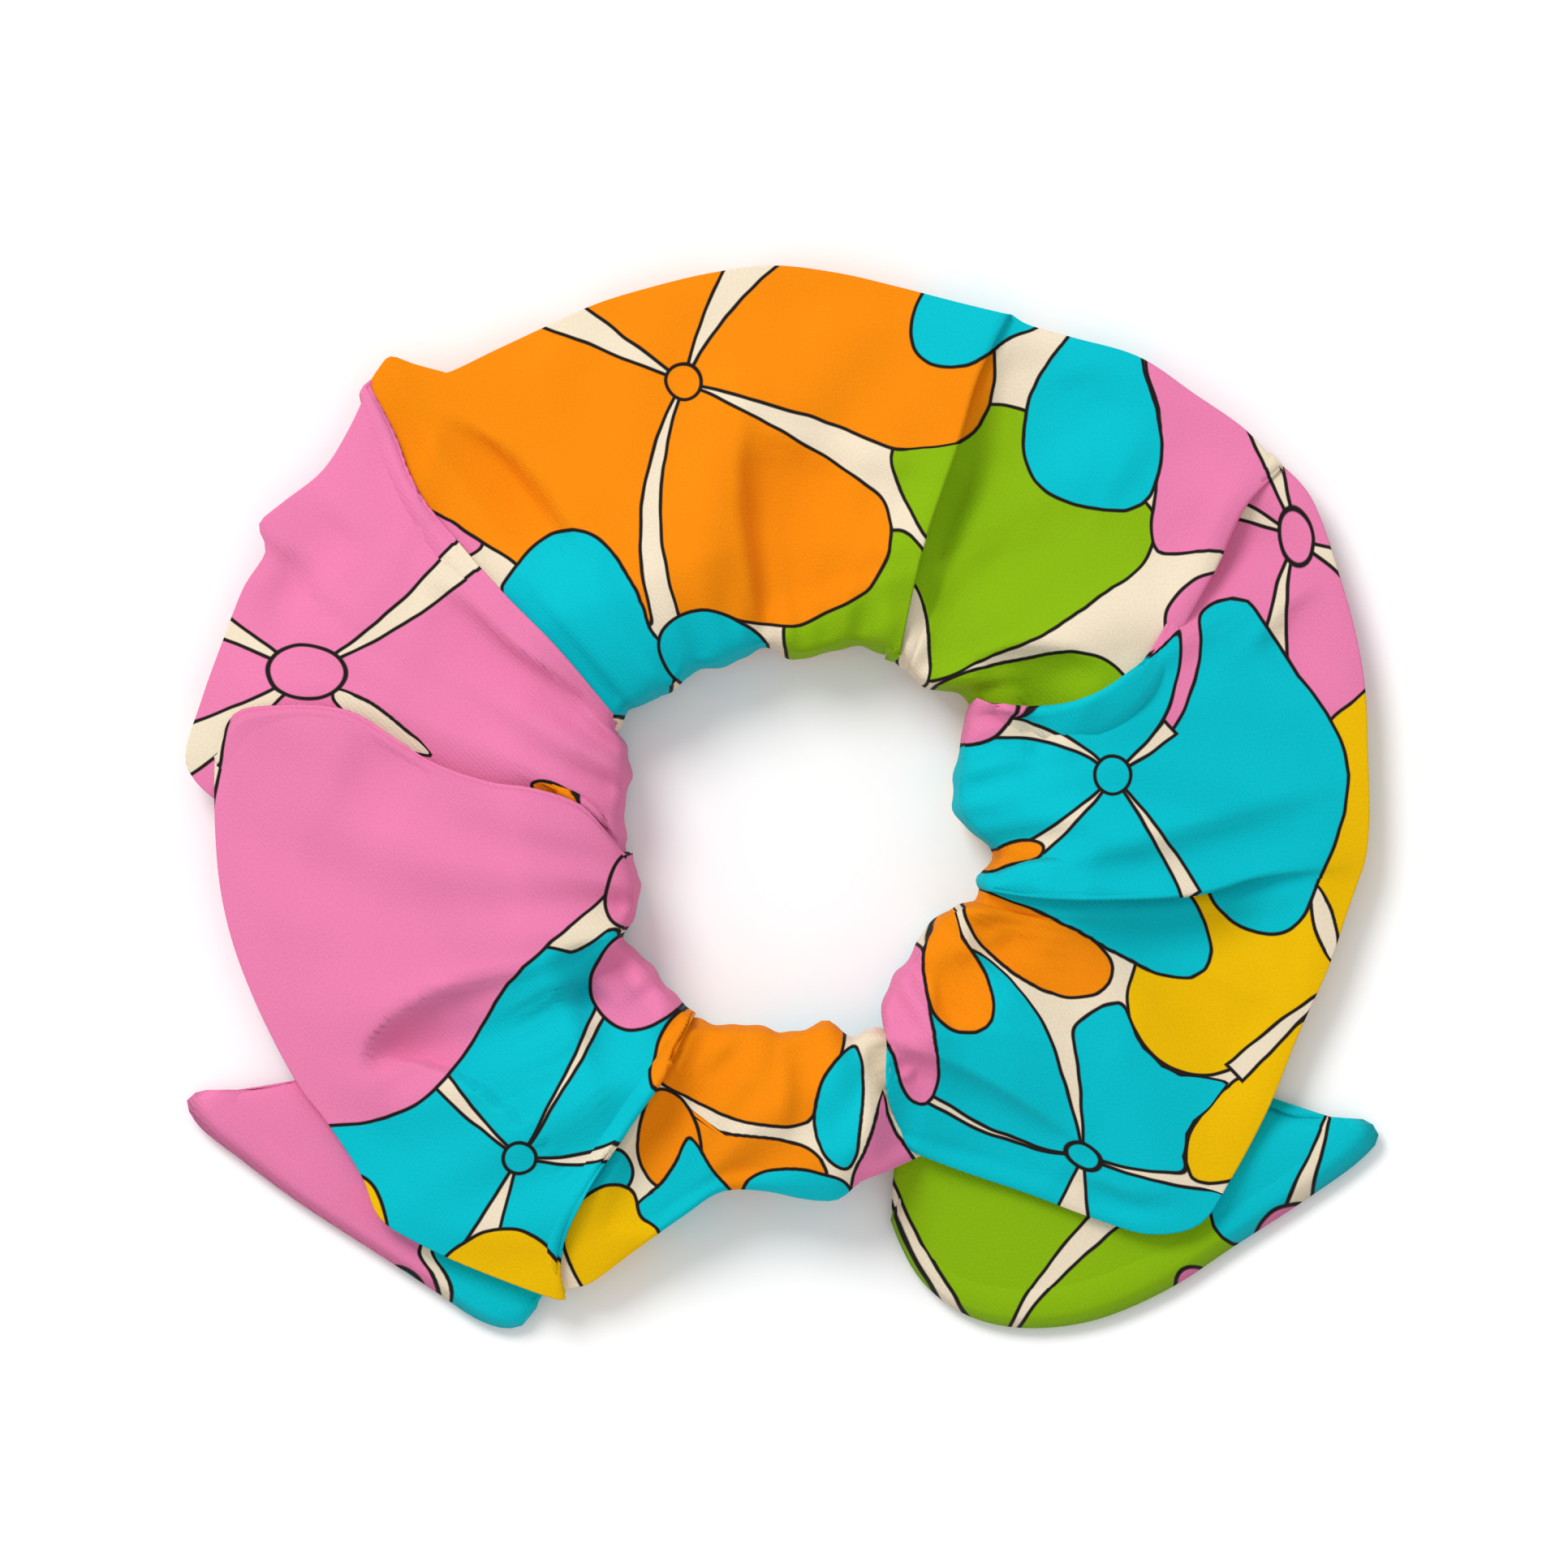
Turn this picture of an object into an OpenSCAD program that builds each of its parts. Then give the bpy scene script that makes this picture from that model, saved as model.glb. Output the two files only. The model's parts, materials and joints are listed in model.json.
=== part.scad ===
// Scrunchie: a wide cloth tube gathered on a loop of flat elastic, lying flat.
// The origin is the centre of the opening, on the surface that the scrunchie lies on.
// +Z is up, +X is to the right and +Y points away from the closing join.
// The cover, the elastic and the long seam are each cut in two at the XZ plane,
// so that the far half can slide along +Y when the loop is stretched.

/* [Opening] */
// Radius of the opening with nothing in it
opening_r = 22.3; // [21.5:0.1:23]
// Height of the upright inside edge of the cover
inner_h = 12.5; // [12:0.5:14]

/* [Cloth cover] */
// Height of the plump part of the cover
crown_h = 19; // [17:0.5:24]
// Distance from the middle at which the cover is highest
crown_r = 37; // [34:1:42]
// Height of the cover at its flat outer tips
rim_h = 4.5; // [3:0.5:8]
// Thickness of the cover's wall, which stands for the cloth and its small folds
wall = 1.2; // [0.8:0.1:1.4]

/* [Elastic] */
// Width of the flat elastic, which stands on edge inside the cover
elastic_w = 6.5; // [5:0.5:8]
// Thickness of the elastic
elastic_t = 1; // [0.6:0.1:1.2]
// Height of the elastic's lower edge above the surface
elastic_lift = 3; // [2:0.5:3.5]
// Length of the lapped and sewn end of the elastic
overlap_len = 14; // [10:1:20]

/* [Sewing] */
// Thickness of the thread
thread_d = 0.5; // [0.4:0.1:0.7]
// Distance from one stitch to the next
stitch_pitch = 2.6; // [2.4:0.1:4]
// Length of one stitch
stitch_len = 2; // [1.5:0.1:2.2]
// Direction of the closing join, seen from the centre of the opening
join_angle = -70; // [-80:1:-60]
// Distance of the long seam from the centre of the opening
long_seam_r = 30; // [28:1:36]

/* [Stretch] */
// Gap between the two halves of each part that stretches
half_gap = 0.3; // [0.2:0.1:1]

/* [Hidden] */
$fn = 64;

cloth_colour = [0.95, 0.52, 0.70];
far_cloth_colour = [0.97, 0.54, 0.09];
elastic_colour = [0.93, 0.92, 0.89];
thread_colour = [0.96, 0.93, 0.86];

// The outer edge of the cover as it lies, counter-clockwise from the middle of the far side.
// The three spikes are where a pleat of the wide tube folds out past the rest.
cover_edge = [
    [-3, 70.5], [-18, 67.7], [-30, 63.5], [-43, 57.2], [-49.5, 59.5], [-52, 55.4], [-57, 46],
    [-65.5, 39], [-65.3, 35], [-69.4, 27], [-74.8, 9.5], [-71.2, 5], [-71, -4], [-68.2, -15],
    [-62, -29], [-74.2, -32], [-72, -36], [-57.7, -46.5], [-42, -57], [-35.2, -60], [-28.5, -57.3],
    [-16, -48], [-8.5, -44], [2.3, -45], [11.3, -42.5], [14, -51], [20, -57.5], [28, -60],
    [42, -57], [53, -49.5], [63, -43], [71.5, -36.5], [59, -33.5], [63.5, -25], [67.5, -14],
    [71, -2], [71, 14], [68.5, 30], [63, 43], [52, 53.5], [42, 59.5], [31, 62.6], [16, 67]
];
// The edge of the hollow inside the cover, which stays out of the spikes
hollow_edge = [
    [0, 67], [-18, 64.5], [-42, 54.5], [-53, 44.5], [-61.5, 36.5], [-66, 25], [-70, 9], [-68, -4],
    [-65, -15], [-58.5, -29], [-60, -40], [-44, -52.5], [-35, -57], [-30, -55], [-17, -46],
    [-9, -41.5], [2, -42.5], [12.5, -40], [16.5, -49.5], [22, -54.5], [29, -57], [41, -54.5],
    [51, -48], [60, -41.5], [56, -33], [60, -24], [64, -13], [68, -2], [68, 13], [65.5, 29],
    [60.5, 41], [50, 51], [40, 57], [30, 60], [15, 64.3]
];
// The cover's profile runs out to here, past the longest spike
far_r = 84;
profile_steps = 12;
half_reach = far_r + 2;
elastic_r = opening_r + wall + 0.7;

function rise(u) = (1 - cos(180 * u)) / 2;
function crown_z(r) = r < crown_r
    ? inner_h + (crown_h - inner_h) * sin(90 * (r - opening_r) / (crown_r - opening_r))
    : crown_h - (crown_h - rim_h) * rise((r - crown_r) / (far_r - crown_r));

// The cover's cross-section with every face drawn in by inset
function cover_profile(inset) = let (low_r = opening_r + inset) concat(
    [[low_r, inset], [far_r, inset]],
    [for (i = [profile_steps : -1 : 0])
        let (r = low_r + (far_r - low_r) * i / profile_steps) [r, crown_z(r) - inset]]
);

// A crowned ring trimmed to an edge as seen from above
module crowned_ring(inset, edge) {
    intersection() {
        rotate_extrude() polygon(cover_profile(inset));
        translate([0, 0, -1]) linear_extrude(crown_h + 2) polygon(edge);
    }
}

// Keeps one half of what it is given: side is 1 for the far half and -1 for the half with the join
module half(side) {
    intersection() {
        children();
        translate([-half_reach, side > 0 ? half_gap / 2 : -half_reach - half_gap / 2, -2])
            cube([2 * half_reach, half_reach, crown_h + 4]);
    }
}

module cover_half(side) {
    half(side) difference() {
        crowned_ring(0, cover_edge);
        crowned_ring(wall, hollow_edge);
    }
}

module ring(inner_r, thickness, height) {
    difference() {
        cylinder(r = inner_r + thickness, h = height);
        translate([0, 0, -1]) cylinder(r = inner_r, h = height + 2);
    }
}

module elastic_half(side) {
    half(side) translate([0, 0, elastic_lift]) ring(elastic_r, elastic_t, elastic_w);
}

// The end of the elastic that laps over the other end and is sewn to it
module elastic_lap() {
    lap_angle = overlap_len / elastic_r * 180 / PI;
    translate([0, 0, elastic_lift])
        rotate(join_angle - lap_angle / 2)
            rotate_extrude(angle = lap_angle)
                translate([elastic_r + elastic_t / 2, 0]) square([1.5 * elastic_t, elastic_w]);
}

// One stitch lying along X, with round ends
module stitch(length) {
    rotate([0, 90, 0]) cylinder(d = thread_d, h = length - thread_d, center = true);
    for (end = [-1, 1])
        translate([end * (length - thread_d) / 2, 0, 0]) sphere(d = thread_d);
}

module cover_seam_side() {
    color(cloth_colour) cover_half(-1);
}

module cover_far_side() {
    color(far_cloth_colour) cover_half(1);
}

module elastic_seam_side() {
    color(elastic_colour) {
        elastic_half(-1);
        elastic_lap();
    }
}

module elastic_far_side() {
    color(elastic_colour) elastic_half(1);
}

// A zigzag through the lap, seen on its outer face
module elastic_join_thread() {
    zigzags = 6;
    slope = 68;
    color(thread_colour)
        for (i = [0 : zigzags - 1])
            rotate(join_angle + (i - (zigzags - 1) / 2) * overlap_len / zigzags / elastic_r * 180 / PI)
                translate([elastic_r + 2 * elastic_t, 0, elastic_lift + elastic_w / 2])
                    rotate([i % 2 == 0 ? slope : -slope, 0, 0])
                        rotate(90) stitch(elastic_w - 1);
}

// A row across the tube where its two ends are tucked together, through the top and the bottom
module closing_seam_thread() {
    first_r = 26;
    stitches = 7;
    color(thread_colour)
        rotate(join_angle)
            for (i = [0 : stitches - 1]) {
                r = first_r + i * stitch_pitch;
                step = crown_z(r + stitch_len / 2) - crown_z(r - stitch_len / 2);
                translate([r, 0, crown_z(r)]) rotate([0, -atan(step / stitch_len), 0]) stitch(stitch_len);
                translate([r, 0, thread_d / 2]) stitch(stitch_len);
            }
}

// The seam that closes the tube along its length, on the inside of the cover's underside
module long_seam_half(side) {
    stitches = floor(PI * long_seam_r / stitch_pitch) - 1;
    turn = 180 / stitches;
    for (i = [0 : stitches - 1])
        rotate(side * (i + 0.5) * turn)
            translate([long_seam_r, 0, wall]) rotate(90) stitch(stitch_len);
}

module long_seam_thread_seam_side() {
    color(thread_colour) long_seam_half(-1);
}

module long_seam_thread_far_side() {
    color(thread_colour) long_seam_half(1);
}

cover_seam_side();
cover_far_side();
elastic_seam_side();
elastic_far_side();
elastic_join_thread();
closing_seam_thread();
long_seam_thread_seam_side();
long_seam_thread_far_side();
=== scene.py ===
"""Looks of a wide scrunchie: a gathered, printed cloth tube on a loop of flat elastic, lying flat."""

import json
import math

import bpy
import numpy as np
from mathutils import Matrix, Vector


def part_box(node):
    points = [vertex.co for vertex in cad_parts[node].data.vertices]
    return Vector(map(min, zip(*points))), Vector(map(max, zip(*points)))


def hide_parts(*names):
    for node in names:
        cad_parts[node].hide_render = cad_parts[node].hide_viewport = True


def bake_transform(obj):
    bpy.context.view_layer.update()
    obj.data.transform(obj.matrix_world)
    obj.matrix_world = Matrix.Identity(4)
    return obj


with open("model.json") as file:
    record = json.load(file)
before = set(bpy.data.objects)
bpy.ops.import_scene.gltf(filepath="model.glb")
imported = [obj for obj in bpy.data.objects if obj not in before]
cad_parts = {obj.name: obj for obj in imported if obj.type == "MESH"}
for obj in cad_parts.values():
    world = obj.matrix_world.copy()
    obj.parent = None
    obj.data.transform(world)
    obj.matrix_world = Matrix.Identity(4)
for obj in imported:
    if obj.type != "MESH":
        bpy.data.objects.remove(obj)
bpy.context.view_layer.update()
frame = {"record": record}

MM = 0.001
opening_r = next(m["dims"]["r_mm"] for m in frame["record"]["mounts"] if m["name"] == "hair_opening")
crown_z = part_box("cover_seam_side")[1].z / MM
elastic_low, elastic_high = (corner.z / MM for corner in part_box("elastic_seam_side"))

# ---------------------------------------------------------------- sizes, in millimetres
CLOTH_THICK = 0.5
ELASTIC_THICK = 1.0
ELASTIC_IN_CLOTH = 2.0
ELASTIC_JOIN_ANGLE = -70
ELASTIC_LAP = 12
SEAM_PITCH = 2.8
SEAM_STITCH = 2.1
SEAM_THREAD = 0.36

# heights of the tube where it lies flat, where it is round, over the elastic and at its edges
CREST_AT = 0.27
CREST_Z = crown_z - 3.8
ROUND_MID_Z = 8
ROUND_HALF_Z = 7.4
OVER_ELASTIC = 1.1
OUTER_EDGE_Z = 5.4
LIP_IN = 1.0
LIP_DROP = 1.6
EAR_Z = 1.9
TUCK = 7
UNDER_IN = 3.3
UNDERSIDE_Z = 0.35
WALL_BULGE = 0.9

# small puckers at the opening (height, length, phase), and slow waves (round the tube, across it, height)
PUCKERS = ((0.30, 6.3, 0.4), (0.24, 4.1, 2.0), (0.2, 9.2, 4.1))
PUCKER_HEIGHT = 1.9
SLOW_WAVES = ((9, 1.3, 0.4), (17, 2.1, 0.26), (31, 1.7, 0.16))
CREASE_PEAK = 0.47
CREASE_COMES_BACK = 4
LEAST_ROOM = 2

# how finely the skin is divided
TOP_STEPS = 46
EDGE_STEP = 1.15
WALL_HEIGHTS = (0, 0.22, 0.45, 0.68, 0.86)
NEAR_THE_EDGE = 0.8
TUCK_STEPS = 5
EAR_STEPS = 14
UNDER_STEPS = 20

# ---------------------------------------------------------------- how the tube lies
# Each rib is one line across the tube as seen from above, from the opening to the outer edge, in millimetres
# from the middle of the opening. They go counter-clockwise from the closing join. Where a pleat laps over
# the next, one rib turns back under it. "lift" raises a rib at its inner end, middle and outer end, or at
# six even steps. "panel" is the stretch of cloth that the rib starts, "plump" is 0 where the tube lies flat
# and 1 where it is round, and "mark" is where the tube's folded edge starts and stops showing beyond the
# panel above it.
LIFTS_AT = {3: (0, 0.45, 1), 6: (0, 0.2, 0.4, 0.6, 0.8, 1)}


def rib(points, lift=(0, 0, 0), panel=None, plump=0.0, mark=None):
    return {"points": points, "lift": lift, "panel": panel, "plump": plump, "mark": mark}


LOWER_RIGHT, RIGHT, UPPER_RIGHT, TOP, UPPER_LEFT, LEFT, WAIST = range(1, 8)
EAR_RIGHT, EAR_LEFT, UNDERSIDE = 8, 9, 10

RIBS = [
    rib([(11.6, -24.4), (11.6, -31.6), (14.2, -38.4)], (1, 1, 0), LOWER_RIGHT, 0.6, "right ear"),
    rib([(11.2, -21.8), (15.8, -32), (19.4, -40.6)], (0.6, 1, 0.5), plump=0.25),
    rib([(12.4, -18.8), (21, -32), (29, -43.9)], plump=0.1),
    rib([(14.4, -15.8), (25, -31), (37, -46.9)]),
    rib([(16.2, -13.2), (28, -28), (44.2, -48.9)]),
    rib([(17.4, -11.4), (33, -28), (50.2, -47.6)]),
    rib([(18.6, -10), (36, -26), (53.8, -42.4)]),
    rib([(20, -9.2), (39, -22), (58.4, -33.8)], mark="right ear"),
    rib([(21.4, -8.6), (42, -17), (62.4, -24)]),
    rib([(22.6, -8.2), (43, -13), (66, -16)], (-0.4, -0.6, 0)),
    # the fold where the right panel laps over the lower right one
    rib([(23.2, -7.8), (29.6, -9.2), (38.5, -9.5), (50.2, -9), (58, -8), (68.2, -9.5)], (-0.6, -1.6, 0)),
    rib([(24.4, -5.2), (29.6, -3.2), (38.5, -3.2), (50.2, -4), (58, -4.5), (69.6, -5.5)], (-0.2, -1, 0),
        RIGHT),
    rib([(23.8, -6.6), (29.6, -7.5), (38.5, -7.8), (50.2, -7.1), (57.7, -4.8), (70.6, -2.4)],
        (0.8, 1.8, 0)),
    rib([(23.4, -4.9), (36, -4.5), (50.2, -3), (71, 1.6)], (0.6, 1.2, 0)),
    rib([(25.8, -2.2), (40, -0.5), (71, 6)], (-1, 0.6, 0)),
    rib([(22.6, 0.8), (40, 4), (70.8, 11.5)], (0.3, 0.2, 0)),
    rib([(20.6, 3.6), (40, 8.5), (70.6, 17.5)]),
    rib([(20.7, 8.2), (42, 14), (69.6, 24)]),
    rib([(21.4, 12.6), (40, 17), (55, 24.5), (67.6, 31.5)]),
    rib([(22, 15.2), (38, 17.2), (52, 28), (63.8, 42)], (0.2, 0.4, -0.3)),
    # the fold where the right panel laps over the upper right one; it runs out before the outer edge
    rib([(22.7, 17.2), (27, 15.6), (32, 15.2), (37, 16.8), (41.3, 19.7), (45, 24.6), (49.2, 33.4),
        (53.4, 41.8), (58.6, 47.2)], (1.8, 2, 1.2, -1.4, -1.6, -0.4)),
    rib([(23.6, 14.6), (28, 12.4), (33, 11.6), (38.4, 12.8), (43.6, 17.4), (47.4, 24.6), (52.2, 33.2),
        (56, 41), (60.2, 45.4)], (-1.4, -1.6, -0.8, 0.2, 0.2, 0), UPPER_RIGHT),
    rib([(21.6, 18), (27, 16.8), (32, 16.4), (36.6, 18), (41, 21), (45.2, 25.6), (50.4, 33.6), (54.2, 41.8),
        (58.8, 47)], (-2, -2.2, -0.8, 0.8, 0.8, 0.2)),
    rib([(19.2, 18.6), (33, 22), (44, 31), (55.6, 50.4)], (0.1, 0.2, 0)),
    rib([(16.6, 19.2), (30, 28), (40, 40), (49.6, 54.6)]),
    rib([(15.4, 20), (24, 31), (33, 46), (42.3, 59.4)], (0, 0.4, 0)),
    rib([(14.6, 21), (21, 35), (28, 50), (34.6, 61.6)], (0, 0.2, 0)),
    # the deep fold where the top panel laps over the upper right one
    rib([(14.2, 21.7), (16.2, 29), (18.4, 37), (22.4, 48.3), (24.6, 55.8), (26.8, 61.2), (29, 63.2)],
        (-0.6, -2.4, -0.6)),
    rib([(11.4, 23.2), (11, 29), (13.2, 37), (18.4, 48.8), (21.4, 56), (24.4, 61.4), (27, 64.4)],
        (-0.8, -1.8, -0.6), TOP),
    rib([(13.2, 22.6), (14.4, 28.5), (16.4, 36.7), (20.4, 48.3), (22.5, 55.8), (24.6, 61.2), (26, 64.6)],
        (0.8, 1.8, 0.6)),
    rib([(10.8, 23.8), (14, 42), (20.6, 65.9)], (0.6, 1.4, 0.3)),
    rib([(7.4, 24.3), (9, 44), (13.2, 67.8)], (0.2, 0.6, 0)),
    rib([(3.8, 23.4), (4, 44), (5.4, 69.6)]),
    rib([(0.6, 22.8), (-0.5, 44), (-2.6, 70.5)]),
    rib([(-3.2, 24), (-5.4, 46), (-10, 69.6)], (-0.2, 0, 0)),
    rib([(-6.4, 23), (-11, 44), (-17.6, 67.8)]),
    rib([(-9.6, 21.6), (-16, 42), (-24.4, 65.7)], (0.2, 0, 0)),
    rib([(-12.6, 21.2), (-20, 40), (-30.4, 63)]),
    rib([(-14.8, 18.9), (-25, 39), (-36.6, 60.1)]),
    rib([(-17, 18.2), (-29, 37), (-42.6, 57.3)]),
    rib([(-17.2, 18), (-29.3, 36.8), (-38.8, 50), (-43.1, 57.4)]),
    rib([(-18.6, 17.2), (-32.6, 35.6), (-43, 50), (-46.8, 58.4)], (0, 0.4, 0)),
    rib([(-19.8, 16.6), (-34.6, 34.6), (-45, 49.4), (-49.6, 59.3)], (0, 0.5, 0.2)),
    rib([(-20.8, 16), (-28.4, 24.6), (-38.6, 36), (-48, 51), (-51, 57.9)], (-0.4, -0.2, 0)),
    # the fold where the upper left panel laps over the top one
    rib([(-23.4, 12.4), (-32, 20), (-43, 33), (-51.4, 48.6), (-53, 54.6)], (-0.6, -1.2, -0.4), UPPER_LEFT),
    rib([(-22.1, 15.2), (-29, 23.4), (-35.4, 29.9), (-41, 36.2), (-46.3, 43), (-49.1, 50), (-52.2, 55.8)],
        (0.5, 1.2, 0)),
    rib([(-22.4, 13.6), (-33, 23.8), (-45.4, 37), (-54.8, 50.2)], (0.5, 0.9, 0)),
    rib([(-21.2, 11.8), (-34, 21.6), (-48, 34), (-58, 45.2)], (0.2, 0.3, 0)),
    rib([(-20.9, 9.6), (-36, 18.8), (-51, 30), (-63, 41.2)], (0, 0, 0.3)),
    rib([(-20.8, 8), (-37, 16.8), (-53, 27.4), (-65.8, 38.6)], (0, 0, 0.5)),
    rib([(-21, 6.6), (-38, 15), (-54, 25), (-65, 35.2)], (0, 0, -0.2)),
    rib([(-21.2, 5), (-40, 14), (-67.6, 31)]),
    rib([(-21.6, 3), (-36, 10.4), (-50, 17.8), (-70.2, 24.4)]),
    rib([(-21.6, 1.4), (-34, 8.4), (-50, 15.4), (-60, 18.6), (-72.8, 17.2)], (-0.4, -0.2, 0)),
    rib([(-21.4, -0.6), (-26.2, 4.6), (-33.3, 6), (-44.8, 8.2), (-51.2, 11.6), (-57, 13.8), (-66, 13.8),
        (-74.8, 9.2)], (-0.5, -1.4, -0.2)),
    # the fold where the big left panel laps over the upper left one
    rib([(-20.6, -4.6), (-25.4, -1.4), (-34, 2), (-46, 4.8), (-53, 8.4), (-60, 10.4), (-70.2, 4.2)],
        (-0.4, -1, -0.3), LEFT),
    rib([(-21, -1.8), (-23.1, 0.9), (-26.2, 4.1), (-32.4, 6.2), (-37, 6.8), (-44.4, 9.3), (-49.2, 12.4),
        (-54.8, 15.7), (-64, 16.3), (-68.8, 15.3), (-71.1, 10.5)], (0.5, 1.5, 0.3)),
    rib([(-20.2, -4), (-32, 1.6), (-48, 6.5), (-58, 9.4), (-71.3, 4.4)], (0.5, 1.1, 0.2)),
    rib([(-19.6, -6.6), (-34, -4.5), (-70.6, -6)], (0.1, 0.4, 0)),
    rib([(-19.8, -8.8), (-34, -9), (-69.2, -12.4)]),
    rib([(-20.8, -11), (-33, -14), (-66.8, -19)], (1.2, 0.2, 0)),
    rib([(-21.6, -12.8), (-32, -18.5), (-63.8, -25.4)], (2.6, 0.8, 0), mark="left ear"),
    rib([(-19.6, -14.6), (-31, -22), (-60.6, -31)], (-0.8, 0, 0)),
    rib([(-17.6, -17), (-28, -25), (-57.2, -35.4)], (-0.6, 0, 0)),
    rib([(-16, -19), (-26, -28), (-53.2, -41.6)]),
    rib([(-14.6, -20.6), (-24, -31), (-50.8, -47)]),
    rib([(-13.6, -21.4), (-23, -34), (-45.6, -50.3)]),
    rib([(-12.9, -21.9), (-20, -34), (-38.2, -53.6)], (0.3, 0.5, 0)),
    # the fold where the big left panel laps over the waist
    rib([(-12.4, -22.4), (-16.1, -29.2), (-20.1, -34.8), (-22.5, -38.8), (-26, -45), (-28.2, -50),
        (-28.8, -57)], (0.6, 1.4, 0.5), mark="left ear"),
    rib([(-14.4, -23), (-19, -30.4), (-23.6, -36.4), (-26.4, -41), (-29.6, -47), (-30.4, -51.6),
        (-28, -55.8)], (-0.4, -1, -0.2), WAIST),
    rib([(-11.8, -23.2), (-15.3, -30), (-19.2, -35.8), (-21.5, -39.8), (-24.4, -45.6), (-25.6, -50),
        (-25, -54.9)], (-0.8, -1.2, 0), plump=0.15),
    rib([(-9.4, -23.6), (-13, -34), (-19.6, -51)], (-0.2, 0, 0), plump=0.4),
    rib([(-6, -23.7), (-8.6, -34), (-13.4, -46.6)], plump=0.8),
    rib([(-3.4, -23.8), (-5.2, -34), (-8.6, -43.6)], plump=1),
    rib([(-1.2, -24.6), (-2, -34), (-3.4, -43.6)], (-0.2, 0, 0), plump=1),
    rib([(1.6, -24), (1.6, -34), (1.6, -44.6)], plump=1),
    rib([(4.6, -23.2), (5, -34), (5.6, -44.6)], plump=1),
    rib([(7.2, -25), (7.6, -34), (8.4, -42.4)], (-0.4, -0.3, 0), plump=1),
    rib([(9.2, -24), (9.8, -33), (11, -41.4)], (-0.5, -0.8, 0), plump=1),
    # the waist's end is tucked into the lower right panel here
    rib([(13.2, -24.9), (16.6, -32.6), (18, -38)], (-2.2, -3.2, -2), plump=0.3),
]

# The folded edge of the tube where it shows beyond the panel above it, between the two ribs with that mark
EARS = {
    "right ear": (EAR_RIGHT, [
        (12.2, -40.4), (11.5, -43.6), (13.1, -49), (16.2, -54.4), (21.1, -58.2), (27.4, -59.9),
        (36.3, -59.2), (45.7, -55.4), (54.2, -49.9), (63.1, -44.1), (69.8, -39.2), (71.7, -36.8),
        (70.6, -35.3), (66.7, -34.9), (61.5, -34.2), (55, -30)]),
    "left ear": (EAR_LEFT, [
        (-57, -27), (-62.4, -30.4), (-67.6, -31.2), (-72.8, -31.6), (-74.2, -32.5), (-73, -35),
        (-67.6, -39.4), (-60.6, -44.6), (-50, -51.5), (-43.3, -55.9), (-38.8, -58.9), (-35.6, -60),
        (-32.4, -59.6), (-29.4, -58)]),
}

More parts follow.
